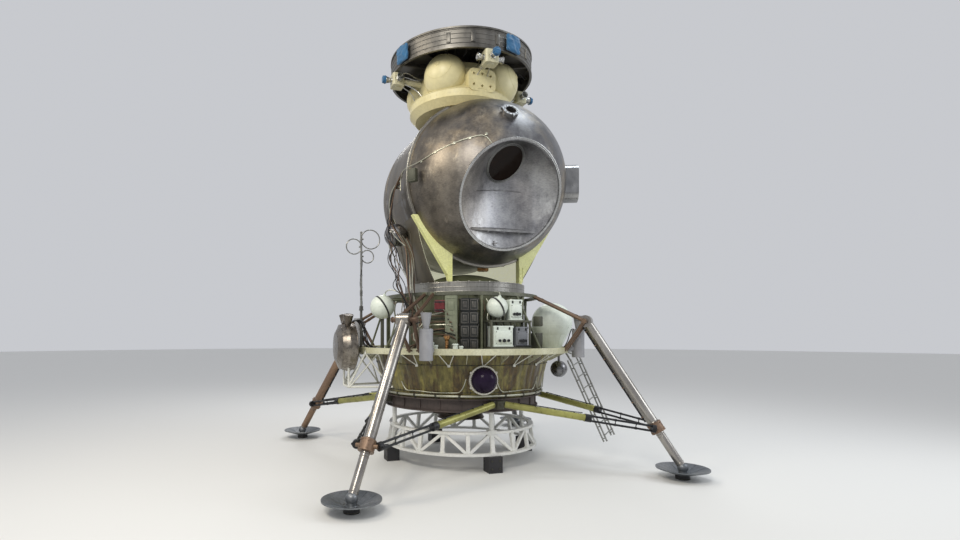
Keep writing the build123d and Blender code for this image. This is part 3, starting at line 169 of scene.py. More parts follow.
def facing(azimuth, radius, z):
    """Placement at an azimuth whose X axis points outwards and whose Z axis is up."""
    return at(polar(azimuth, radius, z)) @ upright_turn(azimuth)


def around(centre, axis, radius, count, start=0.0):
    """Points on a circle about an axis, each with its outward direction."""
    turn = aimed(centre, axis)
    spots = []
    for index in range(count):
        angle = start + index * math.tau / count
        out = turn.to_3x3() @ spoke(angle)
        spots.append((Vector(centre) + out * radius, out))
    return spots


def struck(node, start, direction):
    """Where a line from a point meets a CAD node, and the surface's outward normal there."""
    direction = Vector(direction).normalized()
    hit, place, normal, _ = NODES[node].ray_cast(Vector(start), direction)
    if not hit:
        raise RuntimeError(f"no surface of {node} lies in that direction")
    return place, (normal if normal.dot(direction) < 0 else -normal)


# Small shapes, each added to a mesh that is being built


def meshes(count):
    """Empty meshes to build in."""
    return [bmesh.new() for _ in range(count)]


def edges_of(verts):
    """Edges that meet some vertices."""
    return list({edge for vert in verts for edge in vert.link_edges})


def block(bm, place, size, bevel, segments=2):
    """Box with eased edges."""
    scaled = place @ Matrix.Diagonal((*size, 1))
    edges = edges_of(bmesh.ops.create_cube(bm, size=1, matrix=scaled)["verts"])
    bmesh.ops.bevel(
        bm, geom=edges, offset=bevel, affect="EDGES", segments=segments, profile=0.5, material=-1
    )


def bar(bm, start, end, radius, end_radius=None, sides=12):
    """Round bar between two points."""
    start, end = Vector(start), Vector(end)
    place = aimed((start + end) / 2, end - start)
    far = radius if end_radius is None else end_radius
    bmesh.ops.create_cone(
        bm,
        cap_ends=True,
        segments=sides,
        radius1=radius,
        radius2=far,
        depth=(end - start).length,
        matrix=place,
    )


def boss(bm, point, out, radius, height, sides=6):
    """Bolt head or round boss standing on a surface."""
    out = Vector(out).normalized()
    point = Vector(point)
    crown = radius * 0.86
    bar(bm, point - out * height * 0.3, point + out * height * 0.55, radius, sides=sides)
    bar(bm, point + out * height * 0.5, point + out * height, crown, crown * 0.8, sides)


def hoop(bm, centre, axis, radius, tube, steps=64, sides=8, flat=1.0, tall=1.0):
    """Full ring of round or flattened section about an axis."""
    place = aimed(centre, axis)
    section = place @ at(radius, 0, 0) @ Matrix.Rotation(math.pi / 2, 4, "X")
    section = section @ Matrix.Diagonal((flat, tall, 1, 1))
    made = bmesh.ops.create_circle(bm, segments=sides, radius=tube, matrix=section)["verts"]
    bmesh.ops.spin(
        bm,
        geom=made + edges_of(made),
        cent=place.translation,
        axis=place.to_3x3() @ UP,
        dvec=(0, 0, 0),
        angle=math.tau,
        steps=steps,
        use_merge=True,
        use_normal_flip=False,
        use_duplicate=False,
    )


def hoops(bm, foot, axis, rows):
    """Rings along an axis: each with its distance, radius, tube and steps."""
    for far, *form in rows:
        hoop(bm, foot + axis * far, axis, *form)


def ball(bm, centre, radius, level=2):
    """Small round knob."""
    bmesh.ops.create_icosphere(bm, subdivisions=level, radius=radius, matrix=at(centre))


def hose(bm, points, radius, fine=2, resolution=5):
    """Smooth pipe or harness through a row of control points."""
    curve = bpy.data.curves.new("hose", "CURVE")
    curve.dimensions = "3D"
    curve.bevel_depth = radius
    curve.bevel_resolution = fine
    curve.use_fill_caps = True
    spline = curve.splines.new("NURBS")
    spline.points.add(len(points) - 1)
    for control, point in zip(spline.points, points):
        control.co = (*point, 1)
    spline.order_u = 3
    spline.use_endpoint_u = True
    spline.resolution_u = resolution
    holder = bpy.data.objects.new("hose", curve)
    mesh = bpy.data.meshes.new_from_object(holder)
    bm.from_mesh(mesh)
    bpy.data.objects.remove(holder)
    bpy.data.meshes.remove(mesh)
    bpy.data.curves.remove(curve)


def ringed(bm, centre, axis, radius, count, out, bolt, height, start=0.0, sides=6):
    """Bolts on a circle, all facing one way, or outwards from the circle where out is None."""
    for point, away in around(centre, axis, radius, count, start):
        boss(bm, point, away if out is None else out, bolt, height, sides)


def rim_bolts(bm, azimuths, radius, heights, bolt, tall, sides=6, up=False):
    """Bolts round the upright axis at each height, facing out or up."""
    for azimuth in azimuths:
        for z in heights:
            boss(bm, polar(azimuth, radius, z), UP if up else outward(azimuth), bolt, tall, sides)


def piece(name, bm, slot, body="lander", replaces=(), angle=35, finish=None):
    """Finished piece in its slot's material, or in another where one is named, riding on a body."""
    bmesh.ops.remove_doubles(bm, verts=bm.verts, dist=1e-6)
    bmesh.ops.recalc_face_normals(bm, faces=bm.faces)
    mesh = bpy.data.meshes.new(name)
    bm.to_mesh(mesh)
    bm.free()
    mesh.materials.append(bpy.data.materials[f"{finish or slot}_finish"])
    mesh.shade_smooth()
    mesh.set_sharp_from_angle(angle=math.radians(angle))
    made = bpy.data.objects.new(name, mesh)
    bpy.context.scene.collection.objects.link(made)
    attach(made, body)
    if replaces:
        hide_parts(*replaces)
    return made


# Materials


def noise_map(tree, scale, detail=4.0, stretch=(1, 1, 1), rough=0.55):
    """Noise over object coordinates, stretched along the axes."""
    coords = tree.nodes.new("ShaderNodeTexCoord")
    mapping = tree.nodes.new("ShaderNodeMapping")
    mapping.inputs["Scale"].default_value = stretch
    texture = tree.nodes.new("ShaderNodeTexNoise")
    texture.inputs["Scale"].default_value = scale
    texture.inputs["Detail"].default_value = detail
    texture.inputs["Roughness"].default_value = rough
    tree.links.new(coords.outputs["Object"], mapping.inputs["Vector"])
    tree.links.new(mapping.outputs["Vector"], texture.inputs["Vector"])
    return texture.outputs["Fac"]


def toned(colour, share):
    """Colour made darker or lighter by a share."""
    return tuple(min(1, part * share) for part in colour)


def ramp(tree, factor, stops):
    """Colours along a factor: pairs of place and colour."""
    node = tree.nodes.new("ShaderNodeValToRGB")
    elements = node.color_ramp.elements
    while len(elements) < len(stops):
        elements.new(0.5)
    for element, (place, colour) in zip(elements, stops):
        element.position = place
        element.color = (*colour[:3], 1)
    tree.links.new(factor, node.inputs["Fac"])
    return node.outputs["Color"]


def mixed(tree, factor, first, second, kind="MIX"):
    """Two colours mixed by a factor, which may be a number or an output."""
    node = tree.nodes.new("ShaderNodeMix")
    node.data_type = "RGBA"
    node.blend_type = kind
    if isinstance(factor, float):
        node.inputs[0].default_value = factor
    else:
        tree.links.new(factor, node.inputs[0])
    tree.links.new(first, node.inputs[6])
    tree.links.new(second, node.inputs[7])
    return node.outputs[2]


def ranged(tree, factor, low, high, start=0.3, end=0.7):
    """A factor spread over a range of numbers."""
    node = tree.nodes.new("ShaderNodeMapRange")
    node.inputs["From Min"].default_value = start
    node.inputs["From Max"].default_value = end
    node.inputs["To Min"].default_value = low
    node.inputs["To Max"].default_value = high
    tree.links.new(factor, node.inputs["Value"])
    return node.outputs["Result"]


def bumped(tree, shader, height, strength, distance=0.002):
    """Relief of a height map on the shader."""
    node = tree.nodes.new("ShaderNodeBump")
    node.inputs["Strength"].default_value = strength
    node.inputs["Distance"].default_value = distance
    tree.links.new(height, node.inputs["Height"])
    tree.links.new(node.outputs["Normal"], shader.inputs["Normal"])


def new_finish(name):
    """A new material's node tree and shader."""
    material = bpy.data.materials.new(f"{name}_finish")
    material.use_nodes = True
    tree = material.node_tree
    return tree, tree.nodes["Principled BSDF"]


def coloured(tree, shader, colour, gloss, low, high):
    """Colour on the shader, and roughness from a factor spread between two values."""
    tree.links.new(colour, shader.inputs["Base Color"])
    tree.links.new(ranged(tree, gloss, low, high), shader.inputs["Roughness"])


def surface(name, base, second, metal, rough, grain, tall, bump, chip=None):
    """Blotches, with grain in colour, gloss and relief, and worn flecks where chip gives their colour."""
    tree, shader = new_finish(name)
    shader.inputs["Metallic"].default_value = metal
    fine = noise_map(tree, grain, 5.0, (1, 1, tall))
    broad = noise_map(tree, BLOTCH_SCALE, 3.0)
    colour = ramp(tree, broad, ((0.32, base), (0.68, second)))
    low = 1 - 1.6 * bump
    grey = ramp(tree, fine, ((0.3, (low, low, low)), (0.62, (1, 1, 1))))
    colour = mixed(tree, 1.0, colour, grey, "MULTIPLY")
    if chip:
        worn = noise_map(tree, 26, 6.0, rough=0.7)
        spots = ranged(tree, worn, 0, 1, 0.69, 0.72)
        plain = ramp(tree, worn, ((0, chip), (1, chip)))
        colour = mixed(tree, spots, colour, plain)
    coloured(tree, shader, colour, fine, *rough)
    bumped(tree, shader, fine, bump)


BLOTCH_SCALE = 2.2
WEAVE_SCALE = 420.0
BROWN = (0.12, 0.08, 0.05)
STEEL = (0.3, 0.29, 0.28)
# Slot: two colours, metallic, roughness range, grain scale and its stretch upright, relief, worn flecks
FINISHES = {
    "block_black": ((0.012, 0.012, 0.016), (0.03, 0.028, 0.03), 0, (0.45, 0.7), 60, 0.2, 0.2),
    "stand_white": ((0.78, 0.78, 0.75), (0.7, 0.7, 0.66), 0, (0.35, 0.5), 40, 1, 0.08, (0.36, 0.34, 0.3)),
    "frame_brown": ((0.055, 0.042, 0.04), (0.1, 0.075, 0.065), 0.1, (0.45, 0.7), 40, 0.4, 0.2, BROWN),
    "fitting_dark": ((0.05, 0.05, 0.04), (0.1, 0.095, 0.07), 0.6, (0.4, 0.6), 60, 1, 0.2, STEEL),
    "pipe_silver": ((0.55, 0.55, 0.46), (0.4, 0.4, 0.32), 0.8, (0.28, 0.45), 60, 1, 0.12),
    "platform_cream": (
        (0.66, 0.65, 0.47), (0.5, 0.48, 0.3), 0.1, (0.35, 0.55), 45, 1, 0.12, (0.16, 0.14, 0.07)
    ),
    "stage_olive": ((0.075, 0.082, 0.04), (0.13, 0.135, 0.075), 0, (0.45, 0.7), 30, 0.3, 0.2, BROWN),
    "shield_grey": ((0.2, 0.18, 0.16), (0.28, 0.26, 0.23), 0, (0.6, 0.8), 30, 1, 0.3),
    "nozzle_steel": ((0.14, 0.12, 0.11), (0.26, 0.22, 0.18), 1, (0.3, 0.5), 50, 0.15, 0.2),
    "band_steel": ((0.4, 0.39, 0.36), (0.24, 0.23, 0.21), 0.9, (0.25, 0.45), 70, 0.1, 0.15),
    "ring_grey": ((0.1, 0.105, 0.08), (0.2, 0.2, 0.15), 0.5, (0.35, 0.5), 60, 1, 0.15, BROWN),
    "gusset_cream": ((0.5, 0.49, 0.36), (0.4, 0.39, 0.27), 0.1, (0.35, 0.55), 45, 1, 0.12, (0.2, 0.18, 0.1)),
    "hinge_steel": ((0.24, 0.24, 0.24), (0.34, 0.34, 0.33), 1, (0.25, 0.42), 60, 1, 0.12),
    "rib_grey": ((0.08, 0.075, 0.07), (0.15, 0.145, 0.13), 0.8, (0.35, 0.55), 60, 1, 0.15),
    "bay_grey": ((0.1, 0.11, 0.07), (0.19, 0.2, 0.13), 0.2, (0.4, 0.6), 60, 1, 0.15, BROWN),
    "leg_silver": ((0.42, 0.4, 0.37), (0.24, 0.22, 0.2), 0.95, (0.18, 0.36), 9, 0.25, 0.1),
    "pad_grey": ((0.16, 0.175, 0.19), (0.3, 0.31, 0.32), 0.85, (0.3, 0.5), 40, 1, 0.2),
    "bracket_brown": ((0.1, 0.06, 0.04), (0.17, 0.11, 0.07), 0.3, (0.4, 0.6), 60, 1, 0.2, STEEL),
    "collar_brown": ((0.2, 0.13, 0.09), (0.3, 0.2, 0.13), 0.5, (0.35, 0.55), 60, 1, 0.2, STEEL),
    "brace_green": ((0.4, 0.39, 0.12), (0.24, 0.23, 0.07), 0.4, (0.25, 0.45), 24, 1, 0.15, (0.62, 0.6, 0.3)),
    "damper_black": ((0.014, 0.015, 0.017), (0.03, 0.03, 0.032), 0.4, (0.3, 0.5), 60, 1, 0.15, STEEL),
    "motor_grey": (
        (0.3, 0.305, 0.32), (0.36, 0.36, 0.38), 0.2, (0.4, 0.6), 20, 0.5, 0.06, (0.14, 0.14, 0.14)
    ),
    "ladder_silver": ((0.4, 0.4, 0.38), (0.24, 0.24, 0.22), 0.9, (0.3, 0.45), 70, 0.3, 0.1),
    "pod_bronze": ((0.17, 0.145, 0.12), (0.34, 0.31, 0.27), 0.95, (0.2, 0.42), 22, 1, 0.3, BROWN),
    "truss_white": ((0.78, 0.78, 0.72), (0.7, 0.7, 0.63), 0.1, (0.35, 0.5), 60, 1, 0.08, BROWN),
    "ring_silver": ((0.66, 0.64, 0.56), (0.5, 0.48, 0.4), 0.9, (0.2, 0.35), 70, 1, 0.1),
    "rack_dark": ((0.06, 0.065, 0.045), (0.11, 0.11, 0.08), 0.2, (0.45, 0.65), 60, 1, 0.2, STEEL),
    "box_white": ((0.76, 0.82, 0.75), (0.7, 0.76, 0.69), 0, (0.35, 0.5), 40, 1, 0.06, (0.3, 0.32, 0.26)),
    "box_grey": ((0.16, 0.17, 0.19), (0.23, 0.24, 0.26), 0.1, (0.4, 0.55), 60, 1, 0.12, (0.4, 0.4, 0.4)),
    "stack_black": (
        (0.016, 0.018, 0.018), (0.034, 0.036, 0.034), 0.1, (0.35, 0.55), 60, 1, 0.2, (0.2, 0.2, 0.2)
    ),
    "panel_green": (
        (0.16, 0.18, 0.12), (0.24, 0.26, 0.18), 0.1, (0.4, 0.6), 40, 0.3, 0.15, (0.42, 0.44, 0.38)
    ),
    "fitting_brass": ((0.3, 0.14, 0.06), (0.42, 0.24, 0.1), 0.9, (0.3, 0.5), 60, 1, 0.2),
    "tank_white": ((0.74, 0.8, 0.72), (0.69, 0.75, 0.67), 0, (0.25, 0.42), 30, 1, 0.05),
    "shield_white": ((0.76, 0.82, 0.74), (0.7, 0.76, 0.68), 0, (0.35, 0.5), 24, 1, 0.05, (0.4, 0.42, 0.36)),
    "sphere_silver": ((0.22, 0.22, 0.23), (0.36, 0.35, 0.35), 1, (0.2, 0.38), 14, 1, 0.12),
    "port_metal": ((0.17, 0.17, 0.175), (0.3, 0.3, 0.3), 1, (0.34, 0.5), 60, 1, 0.15),
    "hatch_frame_metal": ((0.2, 0.2, 0.2), (0.3, 0.3, 0.29), 1, (0.25, 0.42), 60, 1, 0.12),
    "flange_metal": ((0.5, 0.48, 0.42), (0.32, 0.3, 0.26), 0.95, (0.25, 0.42), 80, 1, 0.15),
    "rim_metal": ((0.6, 0.6, 0.6), (0.42, 0.42, 0.41), 1, (0.2, 0.36), 80, 1, 0.12),
    "housing_metal": ((0.13, 0.13, 0.135), (0.42, 0.42, 0.42), 1, (0.14, 0.3), 9, 0.5, 0.2),
    "cone_green": ((0.075, 0.065, 0.05), (0.14, 0.125, 0.09), 0.2, (0.4, 0.6), 30, 0.4, 0.15, BROWN),
    # Pale lining: with its glow, painted light that stands for the bright gap beneath the cabin
    "cone_lining": ((0.93, 0.93, 0.74), (0.86, 0.86, 0.6), 0, (0.5, 0.7), 20, 1, 0.1),
    "web_green": ((0.93, 0.94, 0.5), (0.8, 0.81, 0.34), 0, (0.4, 0.55), 50, 1, 0.12, (0.4, 0.4, 0.15)),
    "body_cream": ((0.68, 0.62, 0.36), (0.6, 0.53, 0.28), 0, (0.35, 0.5), 30, 1, 0.08, (0.36, 0.29, 0.14)),
    "tanks_cream": ((0.7, 0.64, 0.38), (0.64, 0.57, 0.31), 0, (0.3, 0.46), 22, 1, 0.05, (0.46, 0.4, 0.22)),
    "docking_grey": ((0.11, 0.105, 0.095), (0.23, 0.22, 0.2), 0.9, (0.28, 0.48), 14, 0.4, 0.2),
    "plate_grey": ((0.12, 0.115, 0.105), (0.2, 0.19, 0.175), 0.9, (0.3, 0.5), 60, 1, 0.15),
    "thruster_cream": ((0.6, 0.57, 0.4), (0.48, 0.45, 0.3), 0, (0.35, 0.5), 50, 1, 0.12, (0.24, 0.2, 0.12)),
    "thruster_steel": ((0.6, 0.6, 0.58), (0.4, 0.4, 0.38), 1, (0.2, 0.36), 60, 1, 0.12),
    "mast_dark": ((0.09, 0.09, 0.085), (0.15, 0.145, 0.13), 0.5, (0.4, 0.6), 60, 1, 0.15, STEEL),
    "mast_silver": ((0.36, 0.36, 0.34), (0.24, 0.24, 0.22), 0.9, (0.25, 0.42), 60, 1, 0.12),
}


def shell_metal(name, base, second, warm):
    """Brushed dark aluminium with handling marks and a painted warm reflection on its left side."""
    tree, shader = new_finish(name)
    shader.inputs["Metallic"].default_value = 0.92
    brush = noise_map(tree, 34, 8.0, (1, 1, 4), 0.7)
    cloud = noise_map(tree, 1.5, 4.0)
    smudge = noise_map(tree, 6, 8.0, rough=0.72)
    streak = noise_map(tree, 3.4, 5.0, (1, 1, 0.18), 0.6)
    colour = ramp(tree, cloud, ((0.32, base), (0.5, second), (0.66, warm)))
    shades = (
        (smudge, 0.36, (0.68, 0.68, 0.7), 0.58),
        (brush, 0.38, (0.72, 0.72, 0.74), 0.6),
        (streak, 0.4, (0.74, 0.73, 0.72), 0.56),
    )
    for factor, low, dark, high in shades:
        colour = mixed(tree, 1.0, colour, ramp(tree, factor, ((low, dark), (high, (1, 1, 1)))), "MULTIPLY")
    # Painted warm reflection: the colour turns warmer towards the left side, where X is negative
    coords = tree.nodes.new("ShaderNodeTexCoord")
    place = tree.nodes.new("ShaderNodeSeparateXYZ")
    tree.links.new(coords.outputs["Object"], place.inputs["Vector"])
    side = ranged(tree, place.outputs["X"], 0, 1, -0.8, 0.1)
    tint = ramp(tree, side, ((0.15, (1, 0.88, 0.7)), (0.9, (1, 1, 1))))
    colour = mixed(tree, 1.0, colour, tint, "MULTIPLY")
    scuff = noise_map(tree, 2.6, 7.0, (1, 1, 0.6), 0.75)
    pale = ramp(tree, smudge, ((0.3, warm), (0.7, toned(warm, 1.7))))
    colour = mixed(tree, ranged(tree, scuff, 0, 0.7, 0.56, 0.68), colour, pale)
    coloured(tree, shader, colour, smudge, 0.3, 0.52)
    bumped(tree, shader, brush, 0.2)


def film(name, olive, dark, brown):
    """Crinkled insulation film with brown streaks that run down it, painted highlights in its lightest
    patches and painted shade in its crinkles.
    """
    tree, shader = new_finish(name)
    shader.inputs["Sheen Weight"].default_value = 0.15
    streak = noise_map(tree, 9, 6.0, (1, 1, 0.06), 0.64)
    patch = noise_map(tree, 7.5, 5.0, (1, 1, 0.1))
    crinkle = noise_map(tree, 24, 7.0, (1, 1, 0.6), 0.65)
    # Patches of darker and lighter olive: tone that varies, and the lightest patches are also painted
    # highlights
    colour = ramp(tree, patch, ((0.36, olive), (0.52, dark), (0.68, toned(olive, 1.5))))
    stain = ramp(tree, crinkle, ((0.3, brown), (0.7, toned(brown, 2.2))))
    colour = mixed(tree, ranged(tree, streak, 0, 0.95, 0.45, 0.55), colour, stain)
    # Painted shade: the hollows of the crinkles are darkened
    shade = ramp(tree, crinkle, ((0.3, (0.45, 0.45, 0.42)), (0.6, (1, 1, 1))))
    coloured(tree, shader, mixed(tree, 1.0, colour, shade, "MULTIPLY"), crinkle, 0.3, 0.55)
    bumped(tree, shader, crinkle, 0.55, 0.01)


def cloth(name, base, second):
    """Woven cloth with soft creases."""
    tree, shader = new_finish(name)
    shader.inputs["Sheen Weight"].default_value = 0.3
    shader.inputs["Roughness"].default_value = 0.8
    coords = tree.nodes.new("ShaderNodeTexCoord")
    threads = []
    for turn in ("X", "Z"):
        wave = tree.nodes.new("ShaderNodeTexWave")
        wave.bands_direction = turn
        wave.inputs["Scale"].default_value = WEAVE_SCALE
        tree.links.new(coords.outputs["Object"], wave.inputs["Vector"])
        threads.append(wave.outputs["Color"])
    crease = noise_map(tree, 14, 5.0, rough=0.6)
    colour = ramp(tree, crease, ((0.3, base), (0.68, second)))
    woven = mixed(tree, 0.5, threads[0], threads[1])
    shade = ramp(tree, woven, ((0.2, (0.75, 0.75, 0.75)), (0.8, (1, 1, 1))))
    tree.links.new(mixed(tree, 1.0, colour, shade, "MULTIPLY"), shader.inputs["Base Color"])
    bumped(tree, shader, crease, 0.5, 0.006)


def dark_gloss(name, tint):
    """Dark, opaque glossy surface with a faint haze in its gloss."""
    tree, shader = new_finish(name)
    shader.inputs["Specular IOR Level"].default_value = 0.1
    haze = noise_map(tree, 9, 4.0)
    coloured(tree, shader, ramp(tree, haze, ((0.3, tint), (0.7, toned(tint, 1.7)))), haze, 0.06, 0.16)


# Properties


class LanderColours(bpy.types.PropertyGroup):
    """Colours a user would change."""

    cabin: FloatVectorProperty(
        name="Cabin",
        description="Dark brushed metal of the cabin shells",
        subtype="COLOR",
        default=(0.26, 0.26, 0.265),
        min=0,
        max=1,
    )
    warm: FloatVectorProperty(
        name="Cabin cast",
        description="Warm cast on the cabin metal",
        subtype="COLOR",
        default=(0.38, 0.335, 0.265),
        min=0,
        max=1,
    )
    skirt: FloatVectorProperty(
        name="Skirt",
        description="Olive film of the skirt",
        subtype="COLOR",
        default=(0.265, 0.225, 0.058),
        min=0,
        max=1,
    )
    covers: FloatVectorProperty(
        name="Covers",
        description="Blue cloth of the covers",
        subtype="COLOR",
        default=(0.012, 0.09, 0.2),
        min=0,
        max=1,
    )
    floor: FloatVectorProperty(
        name="Floor",
        description="Plain pale floor",
        subtype="COLOR",
        default=(0.74, 0.74, 0.72),
        min=0,
        max=1,
    )


class LanderSizes(bpy.types.PropertyGroup):
    """Sizes a user would change."""

    bolt: FloatProperty(
        name="Bolt", description="Radius of a common bolt head", default=0.009, min=0.002, unit="LENGTH"
    )
    rivet: FloatProperty(
        name="Rivet", description="Radius of a rivet head", default=0.005, min=0.001, unit="LENGTH"
    )
    pleat: FloatProperty(
        name="Pleat", description="Depth of the skirt's pleats", default=0.012, min=0.0, unit="LENGTH"
    )
    pleats: IntProperty(
        name="Pleats", description="Number of pleats round the skirt", default=64, min=8
    )
    seed: IntProperty(name="Seed", description="Seed of the random sways and folds", default=7)


class LanderStage(bpy.types.PropertyGroup):
    """Camera and light."""

    lens: FloatProperty(
        name="Lens",
        description="Focal length of the camera",
        default=20.09,
        min=5,
        subtype="DISTANCE_CAMERA",
    )
    key: FloatProperty(
        name="Key lamp", description="Power of the key lamp", default=350, min=0, unit="POWER"
    )
    fill: FloatProperty(
        name="Fill lamp", description="Power of the fill lamp", default=160, min=0, unit="POWER"
    )
    sky: FloatProperty(
        name="Sky", description="Strength of the even light all round", default=0.62, min=0
    )


# Stage

CAMERA_PLACE = (-2.855, -6.607, 1.593)
CAMERA_VIEW = Vector((0.302, 0.953, 0))
CAMERA_SHIFT = (0.077, 0.068)
SENSOR_WIDTH = 36
FLOOR_RADIUS = 60
LAMP_AIM = Vector((0, 0, 2.4))
# Painted glow of the cone lining, which is no lamp
PAINTED_GLOW = (0.95, 0.95, 0.74, 1)
PAINTED_GLOW_STRENGTH = 0.4


class LANDER_OT_stage(bpy.types.Operator):
    """Add the camera at the photograph's viewing angle, the floor and the lamps"""

    bl_idname = "lander.stage"
    bl_label = "Stage"

    def execute(self, context):
        scene = context.scene
        stage = scene.lander_stage
        camera = bpy.data.cameras.new("camera")
        camera.lens = stage.lens
        camera.sensor_width = SENSOR_WIDTH
        camera.shift_x, camera.shift_y = CAMERA_SHIFT
        holder = bpy.data.objects.new("camera", camera)
        holder.location = CAMERA_PLACE
        holder.rotation_euler = CAMERA_VIEW.to_track_quat("-Z", "Y").to_euler()
        scene.collection.objects.link(holder)
        scene.camera = holder
        scene.view_settings.view_transform = "Standard"

        shader = new_finish("floor")[1]
        shader.inputs["Base Color"].default_value = (*scene.lander_colours.floor, 1)
        shader.inputs["Roughness"].default_value = 0.75
        bm = bmesh.new()
        bmesh.ops.create_circle(bm, cap_ends=True, segments=96, radius=FLOOR_RADIUS)
        mesh = bpy.data.meshes.new("floor")
        bm.to_mesh(mesh)
        bm.free()
        mesh.materials.append(bpy.data.materials["floor_finish"])
        floor = bpy.data.objects.new("floor", mesh)
        scene.collection.objects.link(floor)

        world = bpy.data.worlds.new("even_light")
        world.use_nodes = True
        background = world.node_tree.nodes["Background"]
        background.inputs["Color"].default_value = (0.93, 0.95, 1.0, 1)
        background.inputs["Strength"].default_value = stage.sky
        scene.world = world

        # Name, place, power, size and colour of each lamp
        lamps = (
            ("key", (-5.0, -6.5, 7.5), stage.key, 3.0, (1.0, 0.95, 0.86)),
            ("fill", (6.5, -5.0, 5.0), stage.fill, 3.5, (0.92, 0.96, 1.0)),
            ("rim", (1.5, 6.0, 7.5), stage.fill, 3.0, (1.0, 1.0, 1.0)),
            ("left", (-5.7, -1.2, 6.3), stage.fill * 0.8, 1.6, (1.0, 0.9, 0.74)),
            ("ceiling", (2.1, -0.9, 7.6), stage.fill * 0.4, 1.5, (0.86, 0.94, 1.0)),
        )
        for name, place, power, size, colour in lamps:
            lamp = bpy.data.lights.new(name, "AREA")
            lamp.energy = power
            lamp.size = size
            lamp.color = colour
            stand = bpy.data.objects.new(name, lamp)
            stand.location = place
            stand.rotation_euler = (LAMP_AIM - Vector(place)).to_track_quat("-Z", "Y").to_euler()
            scene.collection.objects.link(stand)
        return {"FINISHED"}


class LANDER_OT_finishes(bpy.types.Operator):
    """Make each slot's material and give it to the CAD nodes"""

    bl_idname = "lander.finishes"
    bl_label = "Finishes"

    def execute(self, context):
        colours = context.scene.lander_colours
        for slot, row in FINISHES.items():
            surface(slot, *row)
        # The lining stands for the bright gap that the photograph shows beneath the cabin; its glow is
        # painted light
        lining = bpy.data.materials["cone_lining_finish"].node_tree.nodes["Principled BSDF"]
        lining.inputs["Emission Color"].default_value = PAINTED_GLOW
        lining.inputs["Emission Strength"].default_value = PAINTED_GLOW_STRENGTH
        cabin = tuple(colours.cabin)
        warm = tuple(colours.warm)
        shell_metal("cabin_metal", toned(cabin, 0.8), cabin, warm)
        shell_metal("cabin_rear", toned(cabin, 0.75), toned(cabin, 0.95), cabin)
        shell_metal("door_metal", toned(cabin, 0.85), cabin, warm)
        shell_metal("recess_metal", toned(cabin, 1.25), toned(cabin, 1.6), (0.44, 0.445, 0.45))
        film("skirt_olive", tuple(colours.skirt), toned(colours.skirt, 0.5), (0.05, 0.03, 0.008))
        cloth("cover_blue", tuple(colours.covers), toned(colours.covers, 1.5))
        cloth("pack_maroon", (0.11, 0.008, 0.012), (0.19, 0.02, 0.026))
        cloth("strap_black", (0.012, 0.012, 0.013), (0.03, 0.03, 0.032))
        # The pane is opaque: its near-black brown is painted shade of the cabin's unlit inside behind the
        # window
        dark_gloss("pane_glass", (0.007, 0.0035, 0.002))
        dark_gloss("sensor_violet", (0.012, 0.007, 0.018))
        rows = {row["node"]: row["material_slot"] for row in frame["record"]["subparts"]}
        for name, node in NODES.items():
            node.data.materials.clear()
            node.data.materials.append(bpy.data.materials[f"{rows[name]}_finish"])
        return {"FINISHED"}


# Pieces


def studs(bm, node, spots, out, radius, height, sides=6, reach=0.2):
    """Bolt heads seated where lines from in front of their spots meet a CAD node."""
    out = Vector(out).normalized()
    for spot in spots:
        place, normal = struck(node, Vector(spot) + out * reach, -out)
        boss(bm, place, normal, radius, height, sides)


def collar(bm, centre, axis, radius, width, rise=0.003, steps=32):
    """Flat band round a tube, with eased edges."""
    centre, axis = Vector(centre), Vector(axis).normalized()
    half = axis * width / 2
    edge = axis * (width / 2 + rise)
    bar(bm, centre - half, centre + half, radius + rise, sides=steps)
    bar(bm, centre - edge, centre + edge, radius + rise * 0.4, sides=steps)


def leg_line(corner):
    """Hinge, ankle, running direction, knee and crosswise direction of one landing leg."""
    hinge = polar(corner, HINGE_RADIUS, HINGE_Z)
    ankle = polar(corner, PAD_PLACE, ANKLE_Z)
    run = (ankle - hinge).normalized()
    return hinge, ankle, run, hinge.lerp(ankle, KNEE_SHARE), outward(corner + 90)


def skirt_radius(z):
    """Radius of the skirt's face at a height."""
    share = (z - SKIRT_FOOT) / (SKIRT_TOP - SKIRT_FOOT)
    return SKIRT_FOOT_RADIUS + share * (SKIRT_TOP_RADIUS - SKIRT_FOOT_RADIUS)


def face_grid(azimuth, radius, sides, heights):
    """Spots in rows on an upright face at an azimuth."""
    return [polar(azimuth, radius, z) + polar(azimuth + 90, side, 0) for side in sides for z in heights]


def sizes():
    """The sizes a user may have changed."""
    return bpy.context.scene.lander_sizes


class LANDER_OT_stand(bpy.types.Operator):
    """Add the bolts and weld pads of the display stand"""

    bl_idname = "lander.stand"
    bl_label = "Stand fittings"

    def execute(self, context):
        bm, dark = meshes(2)
        for azimuth in spread(20):
            for z in (0.202, 0.449):
                spots = [polar(azimuth + turn, 1, z) for turn in (-1.3, 1.3)]
                studs(bm, "stand_ring", spots, outward(azimuth), sizes().bolt * 0.8, 0.006)
            block(bm, facing(azimuth, 0.982, 0.224) @ at(-0.03, 0, 0), (0.05, 0.064, 0.014), 0.003)
        for azimuth in SIDES:
            for z in (0.69, 0.484):
                hoop(bm, polar(azimuth, POST_PLACE, z), UP, 0.031, 0.005, 24)
            spots = face_grid(azimuth, 1.04, (-0.05, 0.05), (0.05, 0.14))
            studs(dark, "floor_blocks", spots, outward(azimuth), 0.011, 0.008, 12)
        for corner in CORNERS:
            hoop(dark, polar(corner, PAD_PLACE, 0.012), UP, 0.0735, 0.004, 32)
        piece("stand_fittings", bm, "stand_white")
        piece("block_bolts", dark, "fitting_dark")
        return {"FINISHED"}


